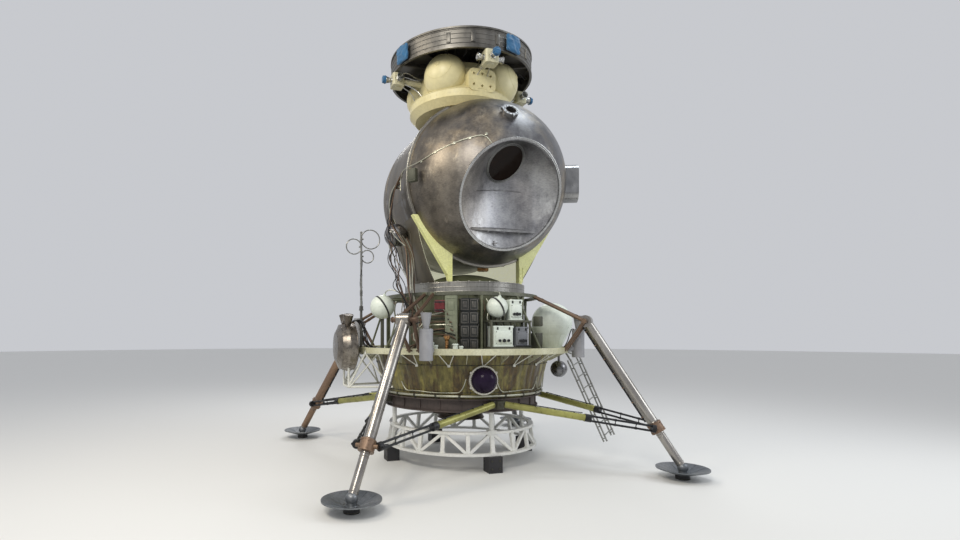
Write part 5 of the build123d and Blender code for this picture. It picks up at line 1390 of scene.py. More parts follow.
class LANDER_OT_wiring(bpy.types.Operator):
    """Add the wire harnesses and pipes of the equipment bay and the cabin's left side"""

    bl_idname = "lander.wiring"
    bl_label = "Wiring and pipes"

    def execute(self, context):
        rng = random.Random(sizes().seed + 2)

        def sway(point, amount):
            return Vector(point) + Vector([rng.uniform(-amount, amount) for _ in range(3)])

        copper, black, silver, bm = meshes(4)
        # Each harness: its mesh, radius, sway and control points
        runs = []
        for lane in range(10):
            shift = 0.016 * (lane - 4.5)
            route = [
                (-0.92 - shift * 0.1, -0.30 + shift, 3.60 - lane * 0.02),
                (-0.97, -0.16 + shift, 3.46),
                (-0.99, -0.02 + shift * 1.3, 3.24),
                (-0.95 + shift, 0.0 + shift * 1.4, 3.04),
                (-0.86 + shift, -0.18 + shift, 2.84),
                (-0.82 + shift, -0.34 + shift, 2.62),
                (-0.83 + shift, -0.44 + shift * 1.2, 2.40),
                (-0.86 + shift, -0.50 + shift * 1.4, 2.18),
                (-0.86 + shift, -0.58 + shift * 2, 1.98),
                (-0.82 + shift * 2, -0.66 - shift * 2, 1.76),
                (-0.84 - shift * 2, -0.72 + shift * 2, 1.56),
                (-0.88 + shift * 2, -0.74 - shift, PLATFORM_TOP + 0.012),
            ]
            runs.append(((copper, black, silver)[lane % 3], rng.uniform(0.005, 0.011), 0.016, route))
        for lane in range(9):
            start = -0.12 + lane * 0.055
            route = [
                (start, -0.935, 1.55 + 0.03 * (lane % 4)),
                (start + 0.02, -0.90, 1.64 + 0.02 * (lane % 3)),
                (start - 0.03, -0.87, 1.78),
                (start + 0.03, -0.85, 1.92),
                (start, -0.80, 2.03),
            ]
            runs.append(((black, copper, silver)[lane % 3], rng.uniform(0.005, 0.009), 0.018, route))
        for lane in range(8):
            drop = 0.02 * lane
            mesh = (copper, black, copper, silver)[lane % 4]
            route = [
                (-0.42 - drop, -0.93 + drop, 1.52 + 0.055 * lane),
                (-0.46 - drop, -0.98, 1.56 + 0.045 * lane),
                (-0.54, -0.95 + drop, 1.58 + 0.04 * lane),
                (-0.62 - drop, -0.86, 1.62 + 0.03 * lane),
                (-0.70, -0.76, 1.60 + 0.035 * lane),
                (-0.76 - drop, -0.66, 1.58 + 0.03 * lane),
            ]
            runs.append((mesh, rng.uniform(0.005, 0.009), 0.02, route))
        for azimuth in (100, 113, 135, 147, 170, 190, 214, 226, 250):
            mesh = (black, silver, copper)[azimuth % 3]
            route = [
                polar(azimuth, 0.86, 2.05),
                polar(azimuth + 2, 0.88, 1.95),
                polar(azimuth - 2, 0.86, 1.8),
                polar(azimuth + 3, 0.9, 1.62),
                polar(azimuth, 0.94, 1.5),
                polar(azimuth + 1, 0.98, PLATFORM_TOP + 0.008),
                polar(azimuth + 6, 1.06, PLATFORM_TOP + 0.01),
            ]
            runs.append((mesh, rng.uniform(0.006, 0.012), 0.012, route))
        # Pipes that lie on the platform: first and last azimuth, radius
        laid = ((-52, -12, 0.008), (-48, -14, 0.006), (4, 40, 0.007), (100, 160, 0.009), (200, 258, 0.009))
        for start, end, radius in laid:
            steps = int((end - start) / 5)
            route = []
            for step in range(steps + 1):
                azimuth = start + (end - start) * step / steps
                route.append(polar(azimuth, 1.18 + rng.uniform(-0.02, 0.02), PLATFORM_TOP + radius))
            runs.append((silver if radius > 0.0075 else black, radius, 0.0, route))
        # Looser wires that tangle beside the silver sphere
        for lane in range(9):
            lean = 0.022 * (lane - 4)
            route = [
                (-0.95, 0.06 + lean, 3.30 - 0.03 * lane),
                (-1.02, -0.10 + lean, 3.05),
                (-1.04 + lean, -0.20, 2.82),
                (-0.99, -0.24 + lean, 2.66),
                (-1.03 - lean, -0.30, 2.50),
                (-0.98, -0.36 + lean, 2.34),
                (-1.00 + lean, -0.44, 2.18),
                (-0.94, -0.52 + lean, 2.02),
                (-0.90 - lean, -0.62, 1.84),
            ]
            runs.append(((black, copper, black)[lane % 3], 0.005, 0.04, route))
        for mesh, radius, amount, route in runs:
            points = [route[0]] + [sway(point, amount) for point in route[1:-1]] + [route[-1]]
            hose(mesh, points, radius, fine=1, resolution=4)
        piece("copper_wires", copper, "bracket_brown")
        piece("black_wires", black, "damper_black")
        piece("silver_pipes", silver, "pipe_silver")

        # Small boxes in the harness: point, azimuth, size
        boxes = (
            ((-0.905, -0.70, 3.45), -52, (0.06, 0.11, 0.15)),
            ((-0.80, -0.80, 1.62), -45, (0.09, 0.12, 0.13)),
            ((-0.66, -0.93, 1.50), -35, (0.12, 0.16, 0.15)),
            ((-0.52, -1.06, 1.455), -27, (0.08, 0.1, 0.075)),
            ((0.62, -0.86, 1.52), 36, (0.12, 0.16, 0.2)),
            ((0.60, -0.95, 1.76), 33, (0.08, 0.1, 0.12)),
        )
        for point, azimuth, (deep, wide, tall) in boxes:
            place = at(point) @ upright_turn(azimuth)
            block(bm, place, (deep, wide, tall), 0.006)
            block(bm, place @ at(deep / 2, 0, 0), (0.008, wide * 0.8, tall * 0.75), 0.003)
            for side, end in FOUR:
                spot = place @ Vector((deep / 2 + 0.003, side * wide * 0.34, end * tall * 0.31))
                boss(bm, spot, outward(azimuth), 0.005, 0.003, 8)
        piece("harness_boxes", bm, "rack_dark")
        return {"FINISHED"}


class LANDER_OT_tanks(bpy.types.Operator):
    """Add the tanks' weld belts and ports, and their webbing straps with buckles"""

    bl_idname = "lander.tanks"
    bl_label = "Tanks and straps"

    def execute(self, context):
        # Centre, radius, and the way its port faces
        white_tanks = (((0.02, -1.02, 1.92), 0.122), ((-1.12, -0.15, 1.945), 0.15))
        spheres = (((1.24, -0.42, 1.147), 0.11), ((-0.909, -0.03, 2.87), 0.15))
        belts, sphere_belts, pipes, straps, buckles, dome = meshes(6)
        groups = ((belts, white_tanks, (0.1, -0.35, 1)), (sphere_belts, spheres, (-0.5, -0.8, 0.2)))
        for bm, tanks, port in groups:
            top = Vector(port).normalized()
            for centre, radius in tanks:
                centre = Vector(centre)
                hoop(bm, centre, (0, 0, 1), radius, 0.0022, 64, 6)
                hoop(bm, centre, (0.2, -1, 0.3), radius, 0.0016, 64, 6)
                start = centre + top * (radius - 0.004)
                bar(bm, start, centre + top * (radius + 0.012), 0.022, 0.018, 20)
                bar(bm, centre + top * (radius + 0.01), centre + top * (radius + 0.024), 0.01)
                ringed(bm, centre + top * (radius + 0.006), top, 0.018, 6, top, 0.003, 0.004)
        piece("tank_belts", belts, "tank_white")
        piece("sphere_belts", sphere_belts, "sphere_silver")
        routes = (
            (
                (0.03, -1.065, 2.05),
                (0.035, -1.07, 2.09),
                (0, -1.0, 2.1),
                (-0.06, -0.9, 2.08),
                (-0.1, -0.8, 2.06),
            ),
            (
                (-1.104, -0.203, 2.095),
                (-1.1, -0.22, 2.14),
                (-1.02, -0.26, 2.16),
                (-0.92, -0.34, 2.1),
                (-0.88, -0.4, 2.07),
            ),
            (
                (-0.995, -0.165, 2.905),
                (-1.02, -0.2, 2.91),
                (-1.03, -0.27, 2.86),
                (-1.0, -0.38, 2.76),
                (-0.94, -0.52, 2.66),
            ),
            (
                (-1, -0.02, 2.75),
                (-1, -0.06, 2.68),
                (-0.93, -0.2, 2.5),
                (-0.86, -0.35, 2.3),
                (-0.82, -0.45, 2.11),
            ),
        )
        for route in routes:
            hose(pipes, route, 0.006, resolution=6)
        piece("tank_pipes", pipes, "pipe_silver")

        axis = (Matrix.Rotation(math.radians(60), 3, "Y") @ Matrix.Rotation(math.radians(20), 3, "Z")) @ UP
        for centre, radius in white_tanks:
            hoop(straps, centre, axis, radius + 0.0026, 0.0024, 96, 12, tall=4.6)
            turn = aimed(centre, axis).to_3x3()
            for angle in (0.9, 4.2):
                out = turn @ spoke(angle)
                seat = Vector(centre) + out * (radius + 0.005)
                place = framed(seat, (turn @ UP).cross(out), turn @ UP, out)
                for side in (-1, 1):
                    block(buckles, place @ at(side * 0.012, 0, 0), (0.004, 0.034, 0.005), 0.001)
                    block(buckles, place @ at(0, side * 0.015, 0), (0.028, 0.004, 0.005), 0.001)
                block(buckles, place, (0.003, 0.028, 0.004), 0.001)
        piece("webbing_straps", straps, "strap_black", replaces=("tank_straps",))
        piece("strap_buckles", buckles, "ladder_silver")

        for angle in (20, 80, 140):
            hoop(dome, SHIELD_CENTRE, spoke(math.radians(angle)), 0.26, 0.0016, 72, 6)
        hoop(dome, SHIELD_CENTRE - UP * 0.03, UP, 0.2585, 0.003, 72)
        base = Vector((SHIELD_CENTRE.x, SHIELD_CENTRE.y, PLATFORM_TOP))
        for index in range(16):
            out = spoke(index * math.tau / 16)
            boss(dome, SHIELD_CENTRE - UP * 0.064 + out * 0.2525, out, 0.005, 0.004, 8)
            end = SHIELD_CENTRE - UP * 0.066 + out * 0.2515
            bar(dome, base + UP * 0.01 + out * 0.113, end, 0.0035, sides=6)
        ringed(dome, base, UP, 0.128, 12, UP, 0.007, 0.007)
        hoop(dome, base + UP * 0.004, UP, 0.128, 0.012, 48, 8, 0.5)
        piece("shield_ribs", dome, "shield_white")
        return {"FINISHED"}


class LANDER_OT_pack(bpy.types.Operator):
    """Add the quilted maroon pack beside the green panel"""

    bl_idname = "lander.pack"
    bl_label = "Maroon pack"

    def execute(self, context):
        noise.seed_set(sizes().seed)
        bm, belts = meshes(2)
        place = facing(*PANEL_PLACE) @ at(-0.018, -0.1353, 0.2)
        block(bm, Matrix(), (0.078, 0.126, 0.136), 0.02, 4)
        bmesh.ops.subdivide_edges(bm, edges=bm.edges[:], cuts=5, use_grid_fill=True)
        for vert in bm.verts:
            x, y, z = vert.co
            puff = math.cos(math.pi * y / 0.15) * math.cos(math.pi * z / 0.16)
            seam = min(abs(y), abs(z), abs(abs(z) - 0.046))
            pinch = 0.006 * math.exp(-((seam / 0.004) ** 2))
            vert.co.x = x * (0.86 + 0.2 * max(0, puff)) - math.copysign(pinch, x)
            vert.co += vert.co.normalized() * 0.003 * noise.noise(vert.co * 40)
        bmesh.ops.transform(bm, matrix=place, verts=bm.verts)
        made = piece("quilted_pack", bm, "pack_maroon", replaces=("maroon_pack",), angle=70)
        for lift in (-0.046, 0.046):
            block(belts, place @ at(0.0385, 0, lift), (0.004, 0.118, 0.014), 0.001)
            block(belts, place @ at(0.041, 0.01, lift), (0.006, 0.022, 0.02), 0.002)
        piece("pack_belts", belts, "strap_black")
        return {"FINISHED"}


class LANDER_OT_cabin(bpy.types.Operator):
    """Add the cabin's seam bolts, weld lines, cable, porthole screws and periscope bezels"""

    bl_idname = "lander.cabin"
    bl_label = "Cabin fittings"

    def seams(self, size):
        """The flange ring's bolts and clips, and the rear shell's weld lines and rivets."""
        bm, rear = meshes(2)
        seam = Vector((CABIN_CENTRE.x, SEAM_Y, CABIN_CENTRE.z))
        spots = [point for point, _ in around(seam, FRONT, 1.043, 72)]
        for way in (FRONT, -FRONT):
            studs(bm, "flange_ring", spots, way, size.rivet * 1.3, 0.006, reach=0.06)
        for y in (-0.0285, 0.0285):
            hoop(bm, seam + Vector((0, y * 0.8, 0)), FRONT, FLANGE_OUTER - 0.0035, 0.0035, 180)
        for angle in spread(12, 14):
            turn = math.radians(angle)
            out = Vector((math.cos(turn), 0, math.sin(turn)))
            block(bm, framed(seam + out * 1.0535, FRONT, out.cross(FRONT), out), (0.05, 0.03, 0.008), 0.002)
            boss(bm, seam + out * 1.057, out, 0.007, 0.005)
        piece("flange_bolts", bm, "flange_metal")

        pole = Vector((CABIN_CENTRE.x, CABIN_REAR_Y, CABIN_CENTRE.z))
        hoop(rear, pole, FRONT, REAR_RADIUS, 0.0035, 160, 6)
        for angle in (25, 60):
            turn = math.radians(angle)
            centre = pole - FRONT * math.sin(turn) * REAR_RADIUS
            hoop(rear, centre, FRONT, math.cos(turn) * REAR_RADIUS, 0.003, 120, 6)
        bar(rear, pole - FRONT * 1.025, pole - FRONT * 1.045, 0.075, 0.07, 40)
        ringed(rear, pole - FRONT * 1.038, -FRONT, 0.055, 12, -FRONT, 0.006, 0.008)
        middle = Vector((CABIN_CENTRE.x, 0.05, CABIN_CENTRE.z))
        for angle in range(11, 371, 60):
            turn = math.radians(angle)
            out = Vector((math.cos(turn), 0, math.sin(turn)))
            for step in range(7):
                spot = middle + out * 1.4 - FRONT * (step * 0.07 - 0.28)
                place = NODES["cabin_rear_shell"].ray_cast(spot, -out)[1]
                if (place - spot).length < 0.6:
                    boss(rear, place, out, size.rivet, 0.003, 8)
        piece("rear_weld_lines", rear, "cabin_rear")

    def openings(self):
        """The porthole's screws and lugs, and the bezels and screws of the periscope."""
        bm, bezels = meshes(2)
        hub = CABIN_CENTRE + PORT_OUT * (CABIN_RADIUS + 0.045)
        ringed(bm, hub, PORT_OUT, 0.079, 12, PORT_OUT, 0.006, 0.006)
        hoops(bm, hub, PORT_OUT, ((0, 0.0625, 0.004, 48), (-0.006, 0.0955, 0.003, 48)))
        for angle in (35, 155, 275):
            side = aimed(hub, PORT_OUT).to_3x3() @ spoke(math.radians(angle))
            lug = aimed(hub + side * 0.102 - PORT_OUT * 0.02, PORT_OUT)
            block(bm, lug, (0.022, 0.022, 0.03), 0.003)
        piece("porthole_screws", bm, "port_metal")

        out = outward(66.9)
        across = outward(156.9)
        face = CABIN_CENTRE + out * (CABIN_RADIUS + 0.15)
        for side in (-0.5, 0.5):
            eye = face + UP * (side * 0.23)
            hoops(bezels, eye, out, ((0.002, 0.0665, 0.006, 48), (-0.014, 0.058, 0.004, 48)))
            ringed(bezels, eye, out, 0.082, 10, out, 0.005, 0.005)
        for lift in (-0.165, -0.05, 0.05, 0.165):
            spot = CABIN_CENTRE + out * (CABIN_RADIUS + 0.075) + UP * lift
            for side in (-1, 1):
                studs(bezels, "periscope_housing", [spot], across * side, 0.0065, 0.006)
        piece("periscope_bezels", bezels, "housing_metal")

    def cable(self):
        """The cable that runs from the window rim to the harness, with its clips."""
        bm = bmesh.new()
        route = [RIM_CENTRE + (WINDOW_UP * 0.84 - RIGHT * 0.54).normalized() * 0.645]
        # Point towards which the cable lies on the shell, and how far it stands off
        rows = (
            ((-0.237, -1.268, 3.802), 0.009),
            ((-0.40, -1.19, 3.77), 0.009),
            ((-0.544, -1.088, 3.732), 0.009),
            ((-0.702, -0.916, 3.671), 0.009),
            ((-0.80, -0.73, 3.61), 0.012),
        )
        for point, lift in rows:
            way = (Vector(point) - CABIN_CENTRE).normalized()
            route.append(CABIN_CENTRE + way * (CABIN_RADIUS + lift))
        for point in route[1:]:
            way = (point - CABIN_CENTRE).normalized()
            clip = aimed(CABIN_CENTRE + way * (CABIN_RADIUS + 0.004), way)
            block(bm, clip, (0.03, 0.03, 0.008), 0.002)
            spot = CABIN_CENTRE + way * (CABIN_RADIUS + 0.006) + UP * 0.011
            boss(bm, spot, way, 0.004, 0.005, 8)
        route.append(Vector((-0.885, -0.52, 3.60)) - RIGHT * 0.016)
        route += [(-0.925, -0.44, 3.595), (-0.93, -0.36, 3.57), (-0.935, -0.32, 3.48), (-0.94, -0.34, 3.36)]
        hose(bm, route, 0.0055, resolution=8)
        piece("cabin_cable", bm, "pipe_silver")

    def brass(self):
        """The brass valve's and knob's rings, and the white fittings beside the valve."""
        bm, white = meshes(2)
        knob = Vector((0.21, -0.25, 2.428))
        hoops(bm, knob, UP, ((0.02, 0.072, 0.004, 40), (0.05, 0.072, 0.004, 40)))
        ringed(bm, knob, UP, 0.05, 6, -UP, 0.007, 0.006)
        valve = polar(-31, 1.17, PLATFORM_TOP)
        hoops(bm, valve, UP, [(z, 0.022, 0.004, 24) for z in (0.055, 0.075, 0.095, 0.112)])
        hoop(bm, valve + UP * 0.158, UP, 0.038, 0.004, 32)
        ringed(bm, valve + UP * 0.175, UP, 0.026, 6, UP, 0.004, 0.004)
        ringed(bm, valve + UP * 0.025, UP, 0.037, 6, UP, 0.004, 0.005)
        piece("brass_rings", bm, "fitting_brass")

        # Azimuth, radius, height, width
        rows = (
            (-39, 1.20, 0.09, 0.032),
            (-36, 1.26, 0.06, 0.026),
            (-26, 1.22, 0.075, 0.03),
            (-23, 1.27, 0.05, 0.022),
        )
        for azimuth, radius, height, width in rows:
            foot = polar(azimuth, radius, PLATFORM_TOP)
            cap = foot + UP * (height + 0.012)
            bar(white, foot, foot + UP * height, width, width * 0.9, 24)
            bar(white, foot + UP * height, cap, width * 1.2, width * 1.1, 24)
            ringed(white, cap, UP, width * 0.8, 6, UP, 0.004, 0.004)
        piece("white_fittings", white, "box_white")

    def execute(self, context):
        self.seams(sizes())
        self.openings()
        self.cable()
        self.brass()
        return {"FINISHED"}


class LANDER_OT_window(bpy.types.Operator):
    """Add the window rim's screws, the recess's rivets, crease and ledge brackets and the pane's lip"""

    bl_idname = "lander.window"
    bl_label = "Window fittings"

    def wall(self, side, up):
        """Where the recess's wall lies behind a place in the window, and its normal there."""
        start = RIM_CENTRE + RIGHT * side + WINDOW_UP * up + WINDOW_OUT * 0.3
        return struck("window_recess", start, -WINDOW_OUT)

    def execute(self, context):
        rivet = sizes().rivet
        rim, bm, lip = meshes(3)
        spots = [point + WINDOW_OUT * 0.05 for point, _ in around(RIM_CENTRE, WINDOW_OUT, 0.627, 60)]
        studs(rim, "window_rim", spots, WINDOW_OUT, rivet, 0.004)
        rows = ((0.0135, 0.6365, 0.0035, 140), (0.0135, 0.6165, 0.003, 140))
        hoops(rim, RIM_CENTRE, WINDOW_OUT, rows)
        piece("rim_screws", rim, "rim_metal")

        # First and last rivet of each row
        rows = (
            ((-0.47, -0.3), (-0.3, -0.36)),
            ((0.3, -0.36), (0.47, -0.3)),
            ((-0.5, -0.1), (-0.5, 0.12)),
            ((0.5, -0.1), (0.5, 0.12)),
        )
        for start, end in rows:
            for step in range(5):
                spot = [first + (last - first) * step / 4 for first, last in zip(start, end)]
                boss(bm, *self.wall(*spot), rivet, 0.004, 8)
        crease = [self.wall(-0.37 + 0.628 * step / 10, 0.011 + 0.015 * step / 10) for step in range(11)]
        hose(bm, [place + normal * 0.002 for place, normal in crease], 0.0055, resolution=4)
        for side in (-0.38, -0.36, 0.27, 0.29):
            boss(bm, *self.wall(side, 0.018), 0.006, 0.005, 8)
        for side in (-0.12, -0.105, 0.02, 0.035):
            for up in (-0.16, -0.12, -0.08):
                boss(bm, *self.wall(side, up), rivet * 0.9, 0.003, 8)
        # Slim angle along the ledge's front edge, with its end brackets
        front = RIM_CENTRE + WINDOW_UP * -0.4 - WINDOW_OUT * 0.002
        ledge = framed(front, RIGHT, -WINDOW_OUT, WINDOW_UP)
        block(bm, ledge @ at(0, 0.004, 0.013), (0.83, 0.016, 0.007), 0.002)
        for side in (-0.4, -0.2, 0, 0.2, 0.4):
            block(bm, ledge @ at(side, 0.05, -0.018), (0.012, 0.09, 0.018), 0.002)
            boss(bm, ledge @ Vector((side, 0.002, 0)), WINDOW_OUT, 0.006, 0.005, 8)
        place, normal = self.wall(-0.084, -0.56)
        block(bm, aimed(place, normal) @ at(0, 0, 0.006), (0.035, 0.06, 0.012), 0.003)
        pin = place + normal * 0.016
        bar(bm, pin - RIGHT * 0.03, pin + RIGHT * 0.03, 0.009, sides=16)
        piece("recess_fittings", bm, "recess_metal")

        pane_out = Vector((0.2, -0.685, -0.7)).normalized()
        pane = RIM_CENTRE + Vector((-0.012, 0, 0)) + WINDOW_UP * 0.336 - WINDOW_OUT * RECESS_DEPTH
        hoop(lip, pane + pane_out * 0.002, pane_out, 0.244, 0.008, 96, 10)
        hoop(lip, pane + pane_out * 0.004, pane_out, 0.228, 0.005, 96)
        ringed(lip, pane + pane_out * 0.008, pane_out, 0.237, 24, pane_out, 0.0045, 0.004, sides=8)
        piece("pane_lip", lip, "hatch_frame_metal")
        return {"FINISHED"}


class LANDER_OT_hatch(bpy.types.Operator):
    """Add the hatch frame's bolts and the door's ring, dogs and hinge screws"""

    bl_idname = "lander.hatch"
    bl_label = "Hatch fittings"

    def oval(self, margin, count):
        """Points round the hatch's outline, grown by a margin, far out on its axis."""
        half = HATCH_HALF + margin
        straight = HATCH_STRAIGHT
        arc = math.pi * half
        whole = 2 * arc + 4 * straight
        spots = []
        for index in range(count):
            run = whole * index / count
            if run < arc:
                angle = run / half
                y, z = half * math.cos(angle), straight + half * math.sin(angle)
            elif run < arc + 2 * straight:
                y, z = -half, straight - (run - arc)
            elif run < 2 * arc + 2 * straight:
                angle = math.pi + (run - arc - 2 * straight) / half
                y, z = half * math.cos(angle), -straight + half * math.sin(angle)
            else:
                y, z = half, -straight + (run - 2 * arc - 2 * straight)
            spots.append(Vector((BESIDE_X, HATCH_Y + y, CABIN_CENTRE.z + z)))
        return spots

    def door(self, y, z):
        """Where the door's face lies at a place beside it, and its normal there."""
        return struck("hatch_door", (BESIDE_X, y, z), -RIGHT)

    def execute(self, context):
        rivet = sizes().rivet
        bolts, bm = meshes(2)
        studs(bolts, "hatch_frame", self.oval(0.021, 48), RIGHT, rivet * 1.2, 0.005, 6, 0)
        piece("hatch_bolts", bolts, "hatch_frame_metal")

        for margin, radius in ((-0.03, 0.007), (-0.085, 0.005)):
            seats = [self.door(spot.y, spot.z)[0] for spot in self.oval(margin, 96)]
            for start, end in zip(seats, seats[1:] + seats[:1]):
                bar(bm, start, end, radius, sides=8)
                ball(bm, start, radius * 0.99, 1)
        studs(bm, "hatch_door", self.oval(-0.057, 36), RIGHT, rivet, 0.004, 8, 0)
        for spot in self.oval(-0.012, 8):
            inward = Vector((0, HATCH_Y, CABIN_CENTRE.z)) - Vector((0, spot.y, spot.z))
            inward.normalize()
            dog = spot + inward * 0.05
            base, normal = self.door(dog.y, dog.z)
            bar(bm, base, base + normal * 0.02, 0.014, sides=16)
            tip = base + normal * 0.014 - inward * 0.03
            bar(bm, base + normal * 0.017 + inward * 0.018, tip, 0.007, sides=10)
        handle = Vector((1.23, HATCH_Y - 0.21, CABIN_CENTRE.z))
        for z in (-0.1, 0.1):
            base, normal = self.door(handle.y, handle.z + z * 1.32)
            block(bm, aimed(base, normal), (0.05, 0.05, 0.012), 0.003)
            boss(bm, base + normal * 0.006, normal, 0.006, 0.006)
        hoops(bm, handle, UP, [(z, 0.0115, 0.0025, 20) for z in (-0.06, -0.02, 0.02, 0.06)])
        for side in (-0.18, 0.18):
            for y in (0.3, 0.34):
                boss(bm, *self.door(y, CABIN_CENTRE.z + side), 0.006, 0.005)
        piece("hatch_dogs", bm, "door_metal", body="hatch")
        return {"FINISHED"}


class LANDER_OT_support(bpy.types.Operator):
    """Add the support cone's ribs and the web's rivets and posts"""

    bl_idname = "lander.support"
    bl_label = "Cabin support fittings"

    def execute(self, context):
        bm, lining, ribs = meshes(3)
        for side in (-1, 1):
            inner_foot = Vector((0.14 + side * 0.51, -0.497, 2.345))
            top = Vector((0.14 + side * 0.93, -0.497, 3.0))
            for step in range(14):
                spot = inner_foot.lerp(top, 0.02 + step * 0.06) + FRONT * 0.1
                hit, place, _, _ = NODES["support_web"].ray_cast(spot, -FRONT)
                if hit and place.y < -0.49:
                    boss(bm, place, FRONT, sizes().rivet, 0.004, 8)
            post = Vector((0.14 + side * 0.49, -0.499, 2.33))
            for edge in (-0.024, 0.024):
                bar(bm, post + Vector((edge, 0, -0.07)), post + Vector((edge, 0, 0.13)), 0.004, sides=8)
            for step in range(4):
                boss(bm, post + UP * (step * 0.05 - 0.05), FRONT, 0.006, 0.005)
        piece("web_rivets", bm, "web_green")

        # The lining is the cone's own inner faces, a little proud of them: a pale sheet that, with its
        # painted glow, stands for the light seen through the gap beneath the cabin
        lining.from_mesh(NODES["support_cone"].data)
        bmesh.ops.remove_doubles(lining, verts=lining.verts, dist=1e-6)
        lining.normal_update()
        middle = Vector((0.08, 0.06, 0))
        outer = []
        for face in lining.faces:
            away = face.calc_center_median() - middle
            away.z = 0
            if face.normal.dot(away.normalized()) > -0.5:
                outer.append(face)
        bmesh.ops.delete(lining, geom=outer, context="FACES")
        lining.normal_update()
        for vert in lining.verts:
            vert.co += vert.normal * 0.003
        bmesh.ops.solidify(lining, geom=lining.faces[:], thickness=0.0015)
        piece("cone_lining", lining, "cone_green", finish="cone_lining")

        for azimuth in range(75, 300, 15):
            out = outward(azimuth)
            seats = []
            for z in (2.3, 2.5, 2.7, 2.9):
                hit, place, _, _ = NODES["support_cone"].ray_cast(middle + out * 2 + UP * z, -out)
                if hit and (place - middle).dot(out) > 0.3:
                    seats.append(place)
            for start, end in zip(seats, seats[1:]):
                bar(ribs, start, end, 0.008, sides=8)
            for place in seats:
                boss(ribs, place + out * 0.004, out, 0.012, 0.008, 8)
        piece("cone_ribs", ribs, "cone_green")
        return {"FINISHED"}


class LANDER_OT_attitude(bpy.types.Operator):
    """Add the attitude unit's weld seams, panel bolts and feed pipes and the thrusters' flanges"""

    bl_idname = "lander.attitude"
    bl_label = "Attitude unit fittings"

    # Radius of each feed pipe, and its points: aside, inwards and up from the cluster
    FEEDS = (
        (0.007, (
            (0.04, 0.07, -0.03),
            (0.05, 0.12, -0.06),
            (0.06, 0.2, -0.09),
            (0.1, 0.27, -0.16),
            (0.14, 0.29, -0.22),
        )),
        (0.006, (
            (0.05, 0.04, 0.075),
            (0.06, 0.08, 0.1),
            (0.05, 0.16, 0.09),
            (0.03, 0.24, 0.06),
            (0.02, 0.34, 0.05),
        )),
    )

    def seams(self, size):
        """Weld seams of the tanks, hoops and bolts of the body, and the access panel's bolts."""
        bm = bmesh.new()
        for corner in CORNERS:
            tank = polar(corner, 0.5, 4.82)
            out = polar(corner, 1, 0.25).normalized()
            for share in (0.32, 0.8):
                radius = 0.27 * math.sqrt(1 - share**2) + 0.0005
                hoop(bm, tank + out * 0.27 * share, out, radius, 0.0028, 72, 6)
            bar(bm, tank + out * 0.268, tank + out * 0.276, 0.03, 0.026, 24)
        for z in (4.598, 4.505):
            hoop(bm, (0, 0, z), UP, ATTITUDE_RADIUS - 0.0005, 0.005, 160)
        azimuths = [azimuth for azimuth in spread(48, 3) if 24 <= azimuth % 360 <= 336]
        rim_bolts(bm, azimuths, ATTITUDE_RADIUS, (4.55,), size.rivet, 0.004, 8)
        # Bolts down the panel's two sides, then along its top and foot, and its round plugs
        bolts = [(x, z) for x in (-0.15, 0.15) for z in (0.1, 0, -0.1)]
        bolts += [(x, z) for z in (0.11, -0.11) for x in (-0.055, 0.055)]
        for x, z in bolts:
            studs(bm, "attitude_body", [(x, -ATTITUDE_RADIUS, PANEL_Z + z)], FRONT, 0.0065, 0.006, 8)
        plugs = ((-0.11, 0.07), (0, 0.075), (0.11, 0.06), (-0.11, -0.06), (0, -0.07), (0.11, -0.065))
        for x, z in plugs:
            hoop(bm, (x, -0.6705, PANEL_Z + z), FRONT, 0.018, 0.003, 24)
        piece("attitude_seams", bm, "body_cream")

    def execute(self, context):
        self.seams(sizes())
        metal, cream = meshes(2)
        rings = ((0.004, 0.03, 0.006, 32), (0.0765, 0.0425, 0.0035, 32), (0.04, 0.033, 0.003, 32))
        for azimuth in SIDES:
            out = outward(azimuth)
            aside = outward(azimuth + 90)
            centre = polar(azimuth, THRUSTER_PLACE, THRUSTER_Z)
            for direction, half in ((aside, 0.17), (-aside, 0.17), (out, 0.15)):
                start = centre + direction * (half / 2)
                hoops(metal, start, direction, rings)
                ringed(metal, start + direction * 0.001, direction, 0.047, 6, direction, 0.005, 0.006)
            for end in (-1, 1):
                cap = centre + UP * end * 0.084
                bar(cream, centre + UP * end * 0.07, cap, 0.05, 0.046, 32)
                ringed(cream, cap, UP, 0.036, 6, UP * end, 0.005, 0.005)
            for share in (0.62, 0.68, 0.74):
                hoop(cream, polar(azimuth, share + 0.02, THRUSTER_Z), out, 0.034, 0.004, 32)
            for side in (-1, 1):
                for radius, rows in self.FEEDS:
                    route = [centre + aside * side * a - out * b + UP * c for a, b, c in rows]
                    hose(metal, route, radius, resolution=6)
        piece("thruster_flanges", metal, "thruster_steel")
        piece("thruster_caps", cream, "thruster_cream")
        return {"FINISHED"}


